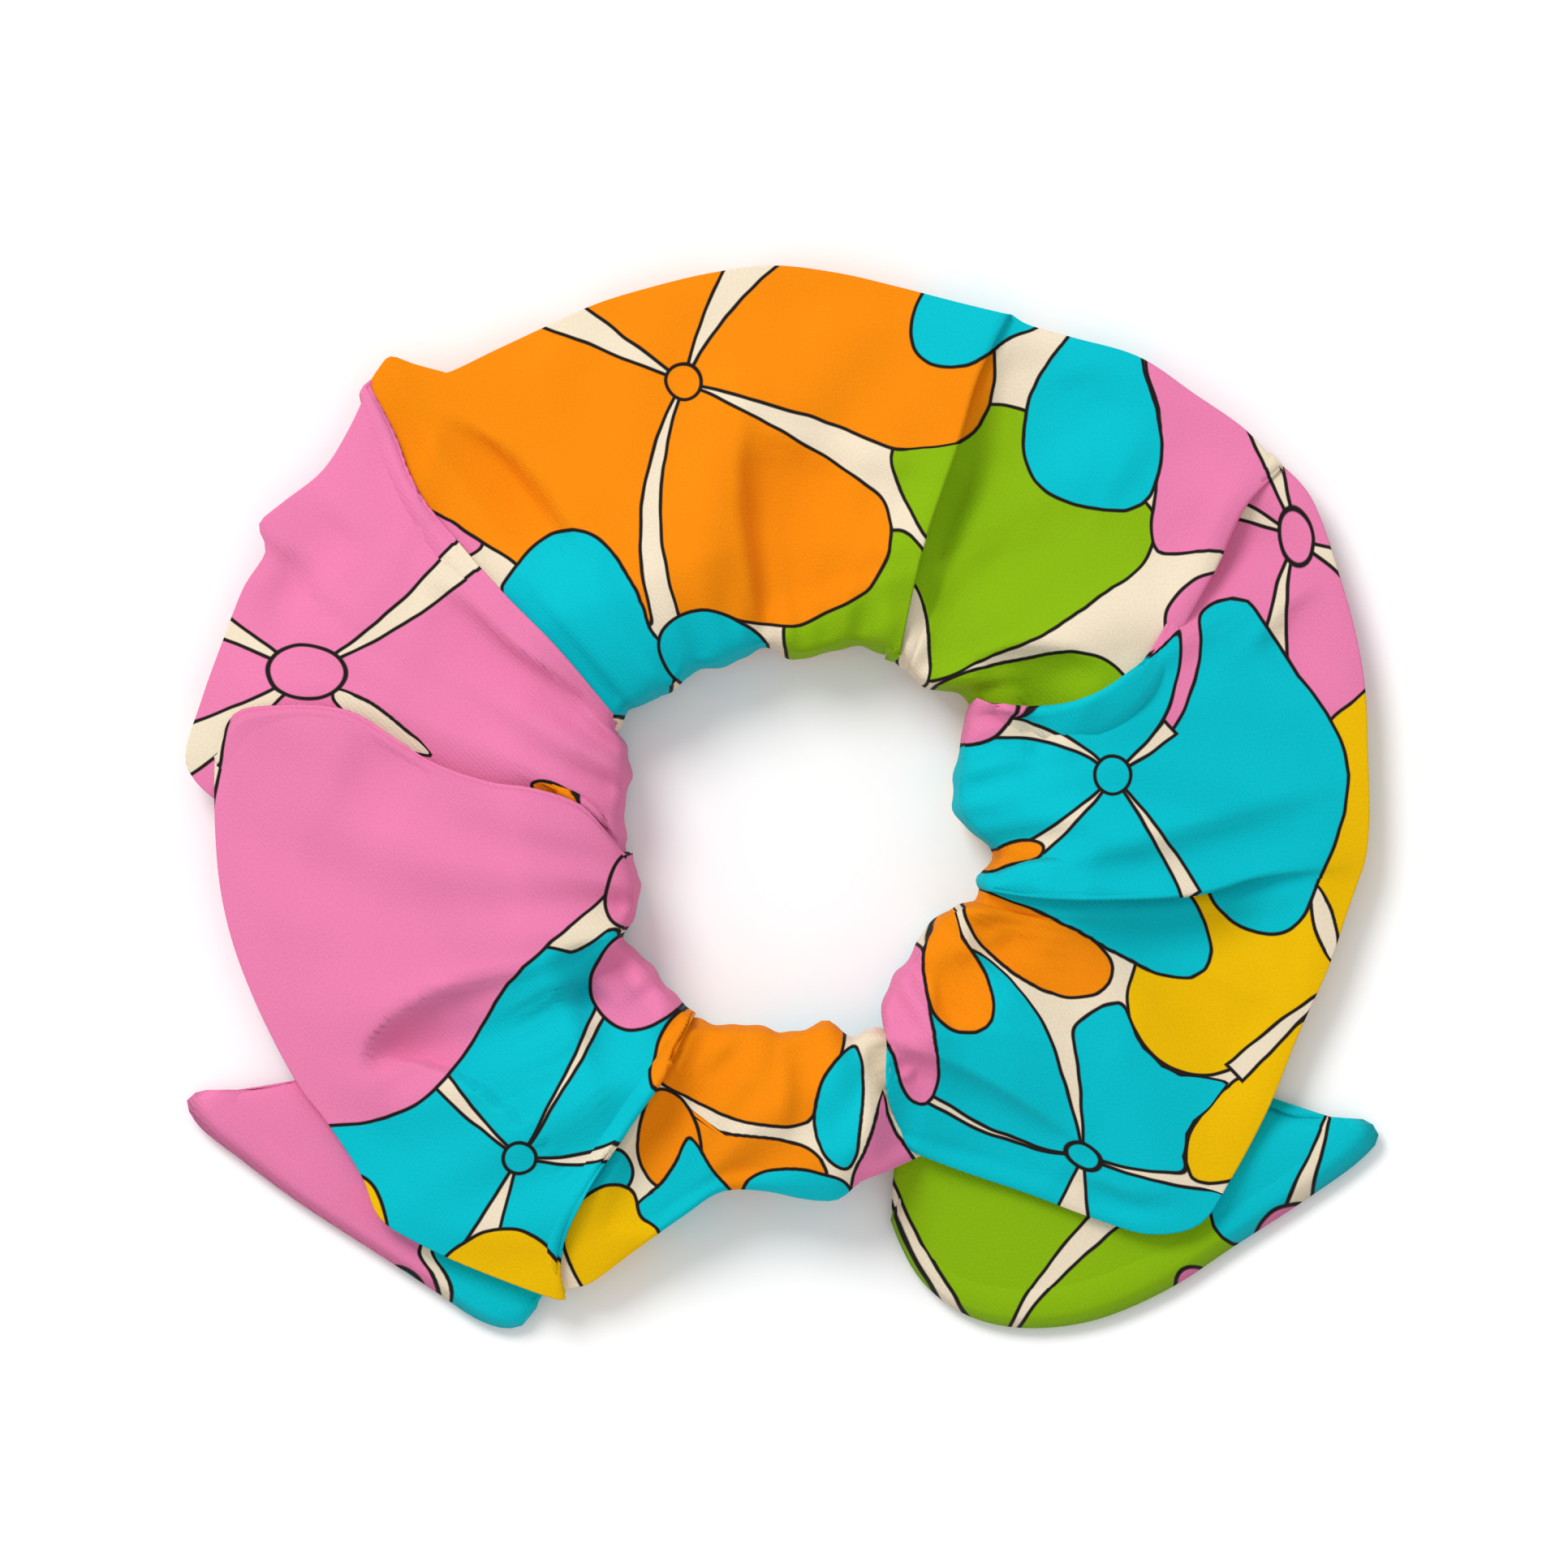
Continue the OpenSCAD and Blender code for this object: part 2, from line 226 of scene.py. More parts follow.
# Creases where the cloth drops away on one side and slowly comes back: a line, how deep and how wide the
# drop is, in millimetres, and which hand it is on for someone who walks along the line.
ON_LEFT, ON_RIGHT = 1, -1
EVERYWHERE = 0
CREASES = {
    EVERYWHERE: [
        # on the top panel
        ([(-5.9, 51), (-6.6, 46), (-6.4, 40), (-5.4, 33), (-4.6, 28), (-2.4, 23)], 4.8, 2.3, ON_LEFT),
        ([(-43.5, 52), (-39, 50.2), (-34, 46.4), (-30, 41.6), (-25.6, 35.8)], 3.6, 1.6, ON_RIGHT),
        ([(12.6, 49), (12.2, 44), (9.6, 36), (6, 30)], 1.2, 3.4, ON_LEFT),
        # on the upper right panel
        ([(20.4, 21), (26.6, 23.6), (33.6, 23.4), (39, 21)], 4.6, 2.6, ON_RIGHT),
        ([(48, 60), (44, 52), (40, 44), (36, 36)], 1.2, 4, ON_LEFT),
        # on the right panel
        ([(70, 34.4), (66, 32), (61.4, 28.6), (56, 23)], 3, 1.8, ON_LEFT),
        ([(66, 6), (54, 2.6), (40, -1.6), (28, -4.4)], 2, 2.2, ON_LEFT),
        # on the lower right panel
        ([(13, -25), (22.9, -29.5), (30.6, -34.1), (36, -38)], 2.4, 1.5, ON_RIGHT),
        ([(36, -41.6), (42, -44), (48, -44)], 2.2, 1.6, ON_RIGHT),
        ([(20.5, -8.4), (22, -13.6), (25.6, -18)], 1.8, 1.5, ON_LEFT),
        ([(16.4, -15), (17.4, -19), (17, -23)], 2, 1.4, ON_LEFT),
        ([(12.6, -25.4), (15, -26.6), (18, -27.4)], 1.5, 1.2, ON_RIGHT),
        ([(46, -14), (54, -18), (63, -22)], 1.1, 4, ON_RIGHT),
        # on the upper left panel
        ([(-44, 31.4), (-39.4, 28.4), (-34.2, 23.6), (-28.6, 19.6), (-22.8, 15.6)], 3, 1.4, ON_RIGHT),
        ([(-69, 33.6), (-63, 35.4), (-57, 33)], 2.4, 1.6, ON_RIGHT),
        ([(-60, 44), (-52, 36)], 1.6, 2.2, ON_RIGHT),
        # on the left panel
        ([(-29, -15.2), (-33.7, -16.4), (-37.7, -17.2), (-42.7, -18.6), (-47.7, -21.2), (-51.5, -24.3),
            (-52.7, -27.4), (-51.4, -31)], 4.6, 2.2, ON_LEFT),
        ([(-20.5, -12.2), (-25.6, -13), (-31, -15.2)], 3, 1.7, ON_LEFT),
        ([(-21, -15), (-24, -16.8), (-28, -18)], 3.4, 2, ON_LEFT),
        ([(-44, 9.4), (-54, 13.6)], 1.4, 2.2, ON_LEFT),
        # on the waist
        ([(-1.6, -24), (-0.6, -31), (-1.6, -38)], 1.6, 1.6, ON_LEFT),
        ([(8.4, -25), (9.4, -34), (10, -42)], 2.2, 1.8, ON_LEFT)],
    TOP: [([(-51, 57), (-49.4, 50), (-46, 43.4), (-41, 37), (-36, 31)], 2.0, 2.0, ON_LEFT)],
    UPPER_RIGHT: [([(28, 64), (24, 56), (20.6, 48), (16.6, 37), (14.3, 27), (13, 20)], 4.6, 3.4, ON_LEFT)],
    RIGHT: [([(60, 47), (53.4, 41), (49.4, 33), (46, 26.4)], 3.6, 2.2, ON_LEFT)],
    LOWER_RIGHT: [([(60, -7.4), (50, -8.6), (38.5, -9.4), (29, -9), (22, -7)], 3.8, 2.4, ON_LEFT)],
    WAIST: [([(-11.6, -23.4), (-15, -30), (-19.2, -36), (-22, -41), (-25, -49)], 3.2, 2.2, ON_LEFT)],
}


def put_in_scene(name, data):
    made = bpy.data.objects.new(name, data)
    bpy.context.scene.collection.objects.link(made)
    return made


# ---------------------------------------------------------------- curves and interpolation

def smooth_curve(points, steps):
    """Points evenly spaced along a smooth curve through the given ones."""
    p = np.asarray(points, float)
    if len(p) == 2:
        t = np.linspace(0, 1, steps)[:, None]
        return p[0] * (1 - t) + p[1] * t
    dense = through(p, np.linspace(0, len(p) - 1, 24 * len(p)), closed=False)
    walked = np.concatenate([[0], np.cumsum(np.linalg.norm(np.diff(dense, axis=0), axis=1))])
    at = np.linspace(0, walked[-1], steps)
    return np.stack([np.interp(at, walked, dense[:, k]) for k in range(dense.shape[1])], axis=1)


def through(knots, at, closed):
    """Centripetal Catmull-Rom curve through knots of any shape, sampled at fractional knot numbers."""
    n = len(knots)
    flat = knots.reshape(n, -1)
    if closed:
        index = lambda i: i % n
    else:
        index = lambda i: np.clip(i, 0, n - 1)
    i1 = np.floor(at).astype(int)
    i1 = i1 if closed else np.minimum(i1, n - 2)
    t = (at - i1)[:, None]
    p0, p1, p2, p3 = (flat[index(i1 + k)] for k in (-1, 0, 1, 2))

    def gap(a, b):
        return np.maximum(np.sqrt(np.linalg.norm(b - a, axis=1)), 1e-4)[:, None]

    d1, d2, d3 = gap(p0, p1), gap(p1, p2), gap(p2, p3)
    m1 = (p1 - p0) / d1 - (p2 - p0) / (d1 + d2) + (p2 - p1) / d2
    m2 = (p2 - p1) / d2 - (p3 - p1) / (d2 + d3) + (p3 - p2) / d3
    m1, m2 = m1 * d2, m2 * d2
    if not closed:
        m1 = np.where((i1 == 0)[:, None], p2 - p1, m1)
        m2 = np.where((i1 == n - 2)[:, None], p2 - p1, m2)
    h = ((2 * t**3 - 3 * t**2 + 1) * p1 + (t**3 - 2 * t**2 + t) * m1
         + (-2 * t**3 + 3 * t**2) * p2 + (t**3 - t**2) * m2)
    return h.reshape((len(at),) + knots.shape[1:])


def ease(x):
    x = np.clip(x, 0, 1)
    return x * x * (3 - 2 * x)


def blurred(values, radius):
    """A closed row of columns, averaged over neighbours with a bell-shaped weight."""
    reach = int(3 * radius)
    weights = np.exp(-0.5 * (np.arange(-reach, reach + 1) / radius) ** 2)
    weights /= weights.sum()
    return sum(w * np.roll(values, k - reach, axis=0) for k, w in enumerate(weights))


# ---------------------------------------------------------------- the cloth tube

def lay_out_tube():
    """The tube's columns, seen from above: plan, lift, plumpness, panel and ears."""
    across = np.linspace(0, 1, TOP_STEPS)
    lines = np.array([smooth_curve(r["points"], TOP_STEPS) for r in RIBS])
    lifts = np.array([np.interp(across, LIFTS_AT[len(r["lift"])], r["lift"]) for r in RIBS])
    plumps = np.array([[r["plump"]] * TOP_STEPS for r in RIBS])
    knots = np.concatenate([lines, 2 * lifts[..., None], 6 * plumps[..., None]], axis=2)

    at, panels = [], []
    panel = RIBS[0]["panel"]
    spans = np.linalg.norm(np.roll(lines, -1, axis=0) - lines, axis=2).max(axis=1)
    marked = {mark: [i for i, r in enumerate(RIBS) if r["mark"] == mark] for mark in EARS}
    for mark, (ear_panel, edge) in EARS.items():
        first, last = marked[mark]
        length = np.linalg.norm(np.diff(edge, axis=0), axis=1).sum()
        spans[first:last] = np.maximum(spans[first:last], length / (last - first))
    for i, span in enumerate(spans):
        panel = RIBS[i]["panel"] or panel
        pieces = max(3, int(round(span / EDGE_STEP)))
        at += [i + k / pieces for k in range(pieces)]
        panels += [panel] * pieces
    at = np.array(at)
    made = through(knots, at, closed=True)
    ears = {}
    for mark, (panel, edge) in EARS.items():
        first, last = marked[mark]
        columns = np.flatnonzero((at >= first) & (at <= last))
        ears[mark] = (columns, panel, smooth_curve(edge, len(columns)))
    return across, made[..., :2], made[..., 2] / 2, np.clip(made[..., 3] / 6, 0, 1), np.array(panels), ears


def flat_top(w):
    rising = 0.56 + 0.44 * np.sin(np.pi / 2 * np.clip(w / CREST_AT, 0, 1)) ** 0.75
    beyond = np.clip((w - CREST_AT) / (1 - CREST_AT), 0, 1)
    falling = 0.8 * (1 - beyond) + 0.2 * np.cos(np.pi / 2 * beyond)
    shape = np.where(w < CREST_AT, rising, falling)
    return OUTER_EDGE_Z + (CREST_Z - OUTER_EDGE_Z) * shape


def round_half(w):
    return 0.3 + 0.7 * np.sin(np.pi * np.clip(w, 0, 1)) ** 0.7


def crease_depths(plan, panels):
    """How far the creases lower each point of the top sheet; one listed by a panel stays on that panel."""
    depth = np.zeros(plan.shape[:-1])
    for panel, line, deep, wide, hand in [(panel, *c) for panel, listed in CREASES.items() for c in listed]:
        path = smooth_curve(line, 40)
        near = np.argmin(((plan[..., None, :] - path) ** 2).sum(-1), axis=-1)
        along = np.gradient(path, axis=0)
        along = (along / np.linalg.norm(along, axis=1)[:, None])[near]
        here = plan - path[near]
        side = hand * (along[..., 0] * here[..., 1] - along[..., 1] * here[..., 0])
        past = along[..., 0] * here[..., 0] + along[..., 1] * here[..., 1]
        drop = np.maximum(side, 0)
        shape_of_drop = np.exp(-drop / (CREASE_COMES_BACK * wide)) - np.exp(-drop / wide)
        fade = np.sin(np.pi * np.clip(near / 39, 0.03, 0.97)) ** 0.7
        if panel != EVERYWHERE:
            fade = fade * blurred((panels == panel).astype(float), 0.7)[:, None]
        depth += deep / CREASE_PEAK * shape_of_drop * fade * np.exp(-((past / 3.0) ** 2))
    return depth


def opening_edge(wall_rows, turns):
    """How far the cloth's inner wall reaches outwards, smoothed, at these turns round the opening."""
    wall = wall_rows.reshape(-1, 2)
    angle = np.degrees(np.arctan2(wall[:, 1], wall[:, 0])) % 360
    reach = np.linalg.norm(wall, axis=1)
    bins = np.arange(0, 360, 4)
    furthest = np.array([reach[abs((angle - b + 180) % 360 - 180) <= 4].max() for b in bins])
    furthest = blurred(furthest, 1.2)
    return np.interp(turns % 360, bins, furthest, period=360)


def build_cloth_shape():
    across, plan, lift, plump, panels, ears = lay_out_tube()
    columns = len(plan)
    under_plan = blurred(plan, 5)
    rng = np.random.default_rng(11)
    step = np.linalg.norm(np.roll(plan[:, 0], -1, axis=0) - plan[:, 0], axis=1)
    walk = np.cumsum(step)
    flute = sum(a * np.sin(2 * np.pi * walk / length + p)
                for a, length, p in PUCKERS)
    outward = plan[:, 0] / np.linalg.norm(plan[:, 0], axis=1)[:, None]

    def sheet_z(w):
        flat = flat_top(w)
        rounded = ROUND_MID_Z + ROUND_HALF_Z * round_half(w)
        return flat * (1 - plump) + rounded * plump

    def low_z(w, p):
        flat = UNDERSIDE_Z + 1.3 * np.exp(-w / 0.05) + (OUTER_EDGE_Z - 1.2) * np.exp(-(1 - w) / 0.16)
        rounded = ROUND_MID_Z - (ROUND_MID_Z - UNDERSIDE_Z) * round_half(w)
        return flat * (1 - p) + rounded * p

    top_z = sheet_z(across[None, :]) + lift
    at_the_ends = ease((across + 0.03) / 0.16) * (0.3 + 0.7 * ease((1 - across) / 0.16))
    room = np.maximum(top_z - low_z(across[None, :], plump) - LEAST_ROOM, 0.3)
    top_z = top_z - room * np.tanh(crease_depths(plan, panels) * at_the_ends / room)
    gather = np.exp(-across / 0.16) * ease(across / 0.03)
    top_z = top_z + PUCKER_HEIGHT * flute[:, None] * gather[None, :] * (1 - 0.6 * plump)
    for column_wave, row_wave, size in SLOW_WAVES:
        phase = rng.uniform(0, 6.28)
        angle = np.arctan2(plan[..., 1], plan[..., 0])
        wave = np.sin(column_wave * angle + row_wave * 6.28 * across[None, :] + phase)
        top_z = top_z + size * wave * ease(across / 0.2) * ease((1 - across) / 0.15)

    sections, uvs, panel_rows = [], [], []

    def add(point, z, uv, panel):
        sections.append(np.concatenate([point, z[:, None]], axis=1))
        uvs.append(uv)
        panel_rows.append(panel)

    # the inner wall, which stands on edge round the elastic
    wall_top = top_z[:, 0]
    wall_low = low_z(np.zeros(columns), plump[:, 0])
    for k in WALL_HEIGHTS:
        bulge = WALL_BULGE * math.sin(math.pi * min(1, 0.15 + k)) * (1 - plump[:, 0] * 0.4)
        point = plan[:, 0] - outward * (bulge + 0.5 * flute * math.sin(math.pi * k))[:, None]
        z = wall_low + (wall_top - wall_low) * k
        add(point, z, plan[:, 0] - outward * (0.15 * (wall_top - z))[:, None], panels)
    # the top sheet, which stays above the elastic
    wall_rows = np.stack(sections, axis=1)[..., :2]
    turns = np.degrees(np.arctan2(plan[..., 1], plan[..., 0]))
    ring = opening_edge(wall_rows, turns) + ELASTIC_IN_CLOTH + ELASTIC_THICK
    beside = np.maximum(abs(np.linalg.norm(plan, axis=2) - ring) - 2.2, 0)
    least_z = elastic_high + OVER_ELASTIC + np.maximum(lift, -0.6) - 1.3 * beside
    top_z[:, 1:] = np.maximum(top_z, least_z)[:, 1:]
    for i in range(TOP_STEPS - 1):
        add(plan[:, i], top_z[:, i], plan[:, i], panels)
    for t in (NEAR_THE_EDGE, 1):
        point = plan[:, -2] * (1 - t) + plan[:, -1] * t
        add(point, top_z[:, -2] * (1 - t) + top_z[:, -1] * t, point, panels)

    # beyond the outer edge: a short turn on to the underside, or an ear that shows below the panel
    ear_weight = np.zeros(columns)
    ear_edge = plan[:, -1].copy()
    ear_panel = panels.copy()
    for listed, panel, edge in ears.values():
        u = np.linspace(0, 1, len(listed))
        ear_weight[listed] = ease(u / 0.07) * ease((1 - u) / 0.07)
        ear_edge[listed] = edge
        ear_panel[listed] = panel
    e = ear_weight[:, None]
    inward = plan[:, -6] - plan[:, -1]
    inward /= np.linalg.norm(inward, axis=1)[:, None]
    tuck_point = plan[:, -1] + inward * TUCK
    for k in range(1, TUCK_STEPS + 1):
        t = (k / TUCK_STEPS) ** 1.5
        bare = plan[:, -1] + inward * (LIP_IN * t * t)
        eared = plan[:, -1] * (1 - t) + tuck_point * t
        z_bare = top_z[:, -1] - LIP_DROP * t
        z_ear = top_z[:, -1] + 0.6 * t - 1.2 * ease(t / 0.1)
        point = bare * (1 - e) + eared * e
        add(point, z_bare * (1 - ear_weight) + z_ear * ear_weight, point, panels)
    for k in range(1, EAR_STEPS + 1):
        t = k / EAR_STEPS
        bare = plan[:, -1] + inward * (LIP_IN + (UNDER_IN - LIP_IN) * t)
        eared = tuck_point * (1 - t) + ear_edge * t
        lip_z = top_z[:, -1] - LIP_DROP
        z_bare = lip_z + (low_z(np.full(columns, 0.96), plump[:, -1]) - lip_z) * t
        z_ear = EAR_Z + (top_z[:, -1] - 2.5) * (1 - t) ** 0.9
        point = bare * (1 - e) + eared * e
        add(point, z_bare * (1 - ear_weight) + z_ear * ear_weight, point, ear_panel)
    # the underside, from the outer edge back to the inner wall
    bare = plan[:, -1] + inward * UNDER_IN
    rim = ear_edge * e + bare * (1 - e)
    for k in range(1, UNDER_STEPS + 1):
        t = k / (UNDER_STEPS + 1)
        w = 0.95 * (1 - t)
        column_at = w * (TOP_STEPS - 1)
        i = int(column_at)
        f = column_at - i
        sharp = plan[:, i] * (1 - f) + plan[:, i + 1] * f
        soft = under_plan[:, i] * (1 - f) + under_plan[:, i + 1] * f
        mix = ease(np.minimum(t, 1 - t) / 0.3)
        point = sharp * (1 - mix) + soft * mix
        point = point + (rim - bare) * (1 - t) ** 2
        z = low_z(np.full(columns, w), plump[:, i])
        add(point, z, point, ear_panel if k < 4 else np.full(columns, UNDERSIDE))

    return np.stack(sections, axis=1), np.stack(uvs, axis=1), np.stack(panel_rows, axis=1)


def cloth_mesh(name, points, uvs, panel_rows):
    """The tube as one closed skin, with each panel's print, which reads the place as seen from above."""
    columns, rows = points.shape[:2]
    number = np.arange(columns * rows).reshape(columns, rows)
    right, up = np.roll(number, -1, axis=0), np.roll(number, -1, axis=1)
    both = np.roll(right, -1, axis=1)
    faces = np.stack([number, right, both, up], axis=2).reshape(-1, 4)
    mesh = bpy.data.meshes.new(name)
    mesh.from_pydata((points.reshape(-1, 3) * MM).tolist(), [], faces[:, ::-1].tolist())
    layer = mesh.uv_layers.new(name="print")
    corner = (uvs.reshape(-1, 2) * MM)[faces[:, ::-1]]
    layer.data.foreach_set("uv", corner.reshape(-1).astype(np.float32))
    for panel in sorted(PANEL_NAMES):
        mesh.materials.append(scattered_print() if panel == UNDERSIDE else printed_cloth(panel))
    mesh.polygons.foreach_set("material_index", panel_rows.reshape(-1).astype(int) - 1)
    mesh.polygons.foreach_set("use_smooth", [True] * len(faces))
    mesh.update()
    return put_in_scene(name, mesh)


# ---------------------------------------------------------------- materials: the small tools

def from_screen(red, green, blue, strength=1.0):
    """A screen colour, 0 to 255, as the linear colour that a shader takes."""
    made = []
    for part in (red, green, blue):
        part /= 255
        made.append(strength * (part / 12.92 if part <= 0.04045 else ((part + 0.055) / 1.055) ** 2.4))
    return (*made, 1)


class Value:
    """A number that changes over the surface. Arithmetic on it adds Math nodes to its finish."""

    def __init__(self, finish, socket):
        self.finish, self.socket = finish, socket

    def math(self, operation, *others, clamp=False, swapped=False):
        terms = [self, *others][::-1] if swapped else [self, *others]
        terms = [t.socket if isinstance(t, Value) else t for t in terms]
        made = self.finish.node("Math", {"operation": operation, "use_clamp": clamp}, dict(enumerate(terms)))
        return Value(self.finish, made.outputs[0])

    def __abs__(self):
        return self.math("ABSOLUTE")

    def __neg__(self):
        return self.math("MULTIPLY", -1)

    def most(self, other):
        return self.math("MAXIMUM", other)

    def times_plus(self, factor, term, clamp=False):
        return self.math("MULTIPLY_ADD", factor, term, clamp=clamp)


def arithmetic(operation, swapped=False):
    return lambda value, other: value.math(operation, other, swapped=swapped)


for sign, operation in (("add", "ADD"), ("sub", "SUBTRACT"), ("mul", "MULTIPLY"), ("pow", "POWER")):
    setattr(Value, f"__{sign}__", arithmetic(operation))
    setattr(Value, f"__r{sign}__", arithmetic(operation, swapped=True))


def add_node(tree, kind, settings=None, inputs=None):
    """A node of this type: its settings first, then its sockets, each with a value or a link."""
    made = tree.nodes.new(kind)
    for name, value in (settings or {}).items():
        if name == "stops":
            set_stops(made.color_ramp, value)
        else:
            setattr(made, name, value)
    for name, value in (inputs or {}).items():
        value = value.socket if isinstance(value, Value) else value
        if isinstance(value, bpy.types.NodeSocket):
            tree.links.new(value, made.inputs[name])
        else:
            made.inputs[name].default_value = value
    return made


def set_stops(ramp, stops):
    while len(ramp.elements) < len(stops):
        ramp.elements.new(1)
    for element, (place, colour) in zip(ramp.elements, stops):
        element.position = place
    for element, (place, colour) in zip(ramp.elements, stops):
        element.color = colour


class Finish:
    """One material: a Principled surface and the nodes that vary it."""

    def __init__(self, name, **constants):
        self.material = bpy.data.materials.new(name)
        self.material.use_nodes = True
        self.tree = self.material.node_tree
        self.surface = self.tree.nodes["Principled BSDF"]
        for socket, value in constants.items():
            self.surface.inputs[socket.replace("_", " ")].default_value = value

    def node(self, kind, settings=None, inputs=None):
        return add_node(self.tree, "ShaderNode" + kind, settings, inputs)

    def link(self, value, socket):
        value = value.socket if isinstance(value, Value) else value
        self.tree.links.new(value, self.surface.inputs[socket])

    def noise(self, where, size_mm, detail=2.0, output="Fac"):
        made = self.node("TexNoise", {}, {"Vector": where, "Scale": 1 / (size_mm * MM), "Detail": detail})
        return Value(self, made.outputs[output]) if output == "Fac" else made.outputs[output]

    def blend(self, factor, first, second, kind="MIX"):
        """Mixes two colours, given as colours or links."""
        made = self.node("Mix", {"data_type": "RGBA", "blend_type": kind}, {0: factor, 6: first, 7: second})
        return made.outputs[2]

    def vectors(self, operation, first, second, third=None):
        """Arithmetic on two or three places, or on a place and a size."""
        inputs = {0: first, "Scale" if operation == "SCALE" else 1: second}
        if third is not None:
            inputs[2] = third
        return self.node("VectorMath", {"operation": operation}, inputs).outputs[0]

    def parts_of(self, place):
        parts = self.node("SeparateXYZ", {}, {0: place}).outputs
        return Value(self, parts[0]), Value(self, parts[1])

    def stripes(self, where, scale, **details):
        inputs = {"Vector": where, "Scale": scale} | {k.replace("_", " "): v for k, v in details.items()}
        made = self.node("TexWave", {"wave_type": "BANDS", "bands_direction": "DIAGONAL"}, inputs)
        return Value(self, made.outputs["Fac"])

    def bump(self, height, strength, deep_mm):
        made = self.node("Bump", {}, {"Strength": strength, "Distance": deep_mm * MM, "Height": height})
        self.link(made.outputs["Normal"], "Normal")


# ---------------------------------------------------------------- the print on the cloth
# A bold print of rounded four-petalled flowers on a cream ground, each colour edged with a thin dark line.
# Places are in millimetres on the laid-out tube, seen from above.

INK_STRENGTH = 0.83
INKS = {name: from_screen(*colour, INK_STRENGTH) for name, colour in {
    "cream": (244, 228, 201), "orange": (250, 142, 10), "pink": (240, 131, 178), "cyan": (4, 196, 210),
    "green": (141, 187, 16), "yellow": (246, 194, 2), "line": (34, 30, 28),
}.items()}
LINE_HALF = 0.23
LINE_SOFT = 0.14
PRINT_WOBBLE = 0.3
PETAL_ROUNDING = 1.6


def shape(colour, *points, centre=None, cuts=()):
    """A patch with a smooth edge through the points, less the cuts. Every point is seen from the centre."""
    return {"colour": colour, "points": points, "centre": centre, "cuts": cuts}


def oval(colour, x, y, long, wide, tilt=0.0):
    return {"colour": colour, "oval": (x, y, long, wide, tilt), "cuts": ()}


def gap(start, end, width, bow=0.0, grows=1.0, closed=False):
    """A tapering gap between petals: its width at the end, and how far its middle bows to the left."""
    return {"start": start, "end": end, "width": width, "bow": bow, "grows": grows, "closed": closed}


def strip(*way, **details):
    """The cream ground, where it shows as a strip of its own between two lines."""
    return {"colour": "cream", "gap": gap(*way, **details), "cuts": ()}


PINK_EYE, PINK_EYE_SIZE = (62, 37.1), (3.5, 2.1, 100)
PINK_FLOWER_GAPS = [
    strip(PINK_EYE, (58.6, 47.8), 2.6), strip(PINK_EYE, (54.6, 40.6), 2.4, closed=True),
    strip(PINK_EYE, (59.4, 22.4), 3, bow=-0.6), strip(PINK_EYE, (69.5, 32.6), 3.4),
]
PINK_FLOWER_EYE = oval("pink", *PINK_EYE, *PINK_EYE_SIZE)
ORANGE_EYE = (-13.4, 56.2)
ORANGE_FLOWER = shape("orange", (24.7, 56.2), (24.1, 52.6), (21.8, 49.2), (17.3, 47.7), (12.1, 47.9),
    (10.4, 43.6), (12, 39.8), (12.1, 35.7), (10.3, 31.4), (6.3, 28.2), (0.8, 26), (-4.2, 26), (-9.7, 28),
    (-13.9, 26.6), (-17.6, 25.6), (-24, 27), (-33.3, 33.4), (-38, 36.2), (-42.6, 39.6), (-48, 42),
    (-58, 52), (-52, 68), (-24, 76), (8, 76), (24, 66),
    centre=ORANGE_EYE, cuts=[gap(ORANGE_EYE, (-27.9, 64.2), 4.6), gap(ORANGE_EYE, (-5.2, 70.6), 4.8,
    bow=0.8), gap(ORANGE_EYE, (11.7, 45), 5.6, bow=0.7), gap(ORANGE_EYE, (-15.5, 26.4), 3.6, bow=-3,
    grows=0.65)])
TOP_CYAN = shape("cyan", (14.6, 62.7), (15.1, 59.7), (17.3, 58), (20.8, 58), (23.8, 59.4), (27.3, 62),
    (31.3, 63.4), (31, 68), (22, 71), (16, 67.6))
CYAN_EYE = (39.4, 7.7)
CYAN_FLOWER = shape("cyan", (53.8, 29.7), (57, 28.4), (59, 25.1), (63.2, 18.2), (66.5, 14.2), (68.4, 9.1),
    (68.4, 4.5), (66.7, -1.3), (64.6, -5.5), (63.2, -9.3), (60.5, -11.6), (58.3, -11.9), (54.8, -10.8),
    (51.2, -7), (48, -10), (38, -16), (24, -14), (15, -2), (16, 8), (20.5, 11.4), (24.3, 13.3), (27.5, 15),
    (31, 16), (37, 18.5), (42.6, 21.8), (46.4, 24.1), (49.6, 27.4),
    centre=CYAN_EYE, cuts=[gap(CYAN_EYE, (49, 25.2), 2.8, bow=-2.9, grows=0.7)])
LEAF_GAP = shape("cream", (64.3, -5.4), (66.2, -8.6), (67.2, -13), (66.9, -16), (65.2, -13.4), (63.9, -9.4))
LEFT_EYE = (-33.7, -39.5)
LEFT_BLUE_GAPS = [
    gap(LEFT_EYE, (-43.6, -29.6), 2.4, bow=0.4), gap(LEFT_EYE, (-24.2, -22.3), 1.4, bow=-0.4),
    gap(LEFT_EYE, (-20.8, -38.3), 2.2, bow=-0.8), gap(LEFT_EYE, (-37.8, -48.4), 2.9)]
LOWER_EYE = (35.8, -39.3)

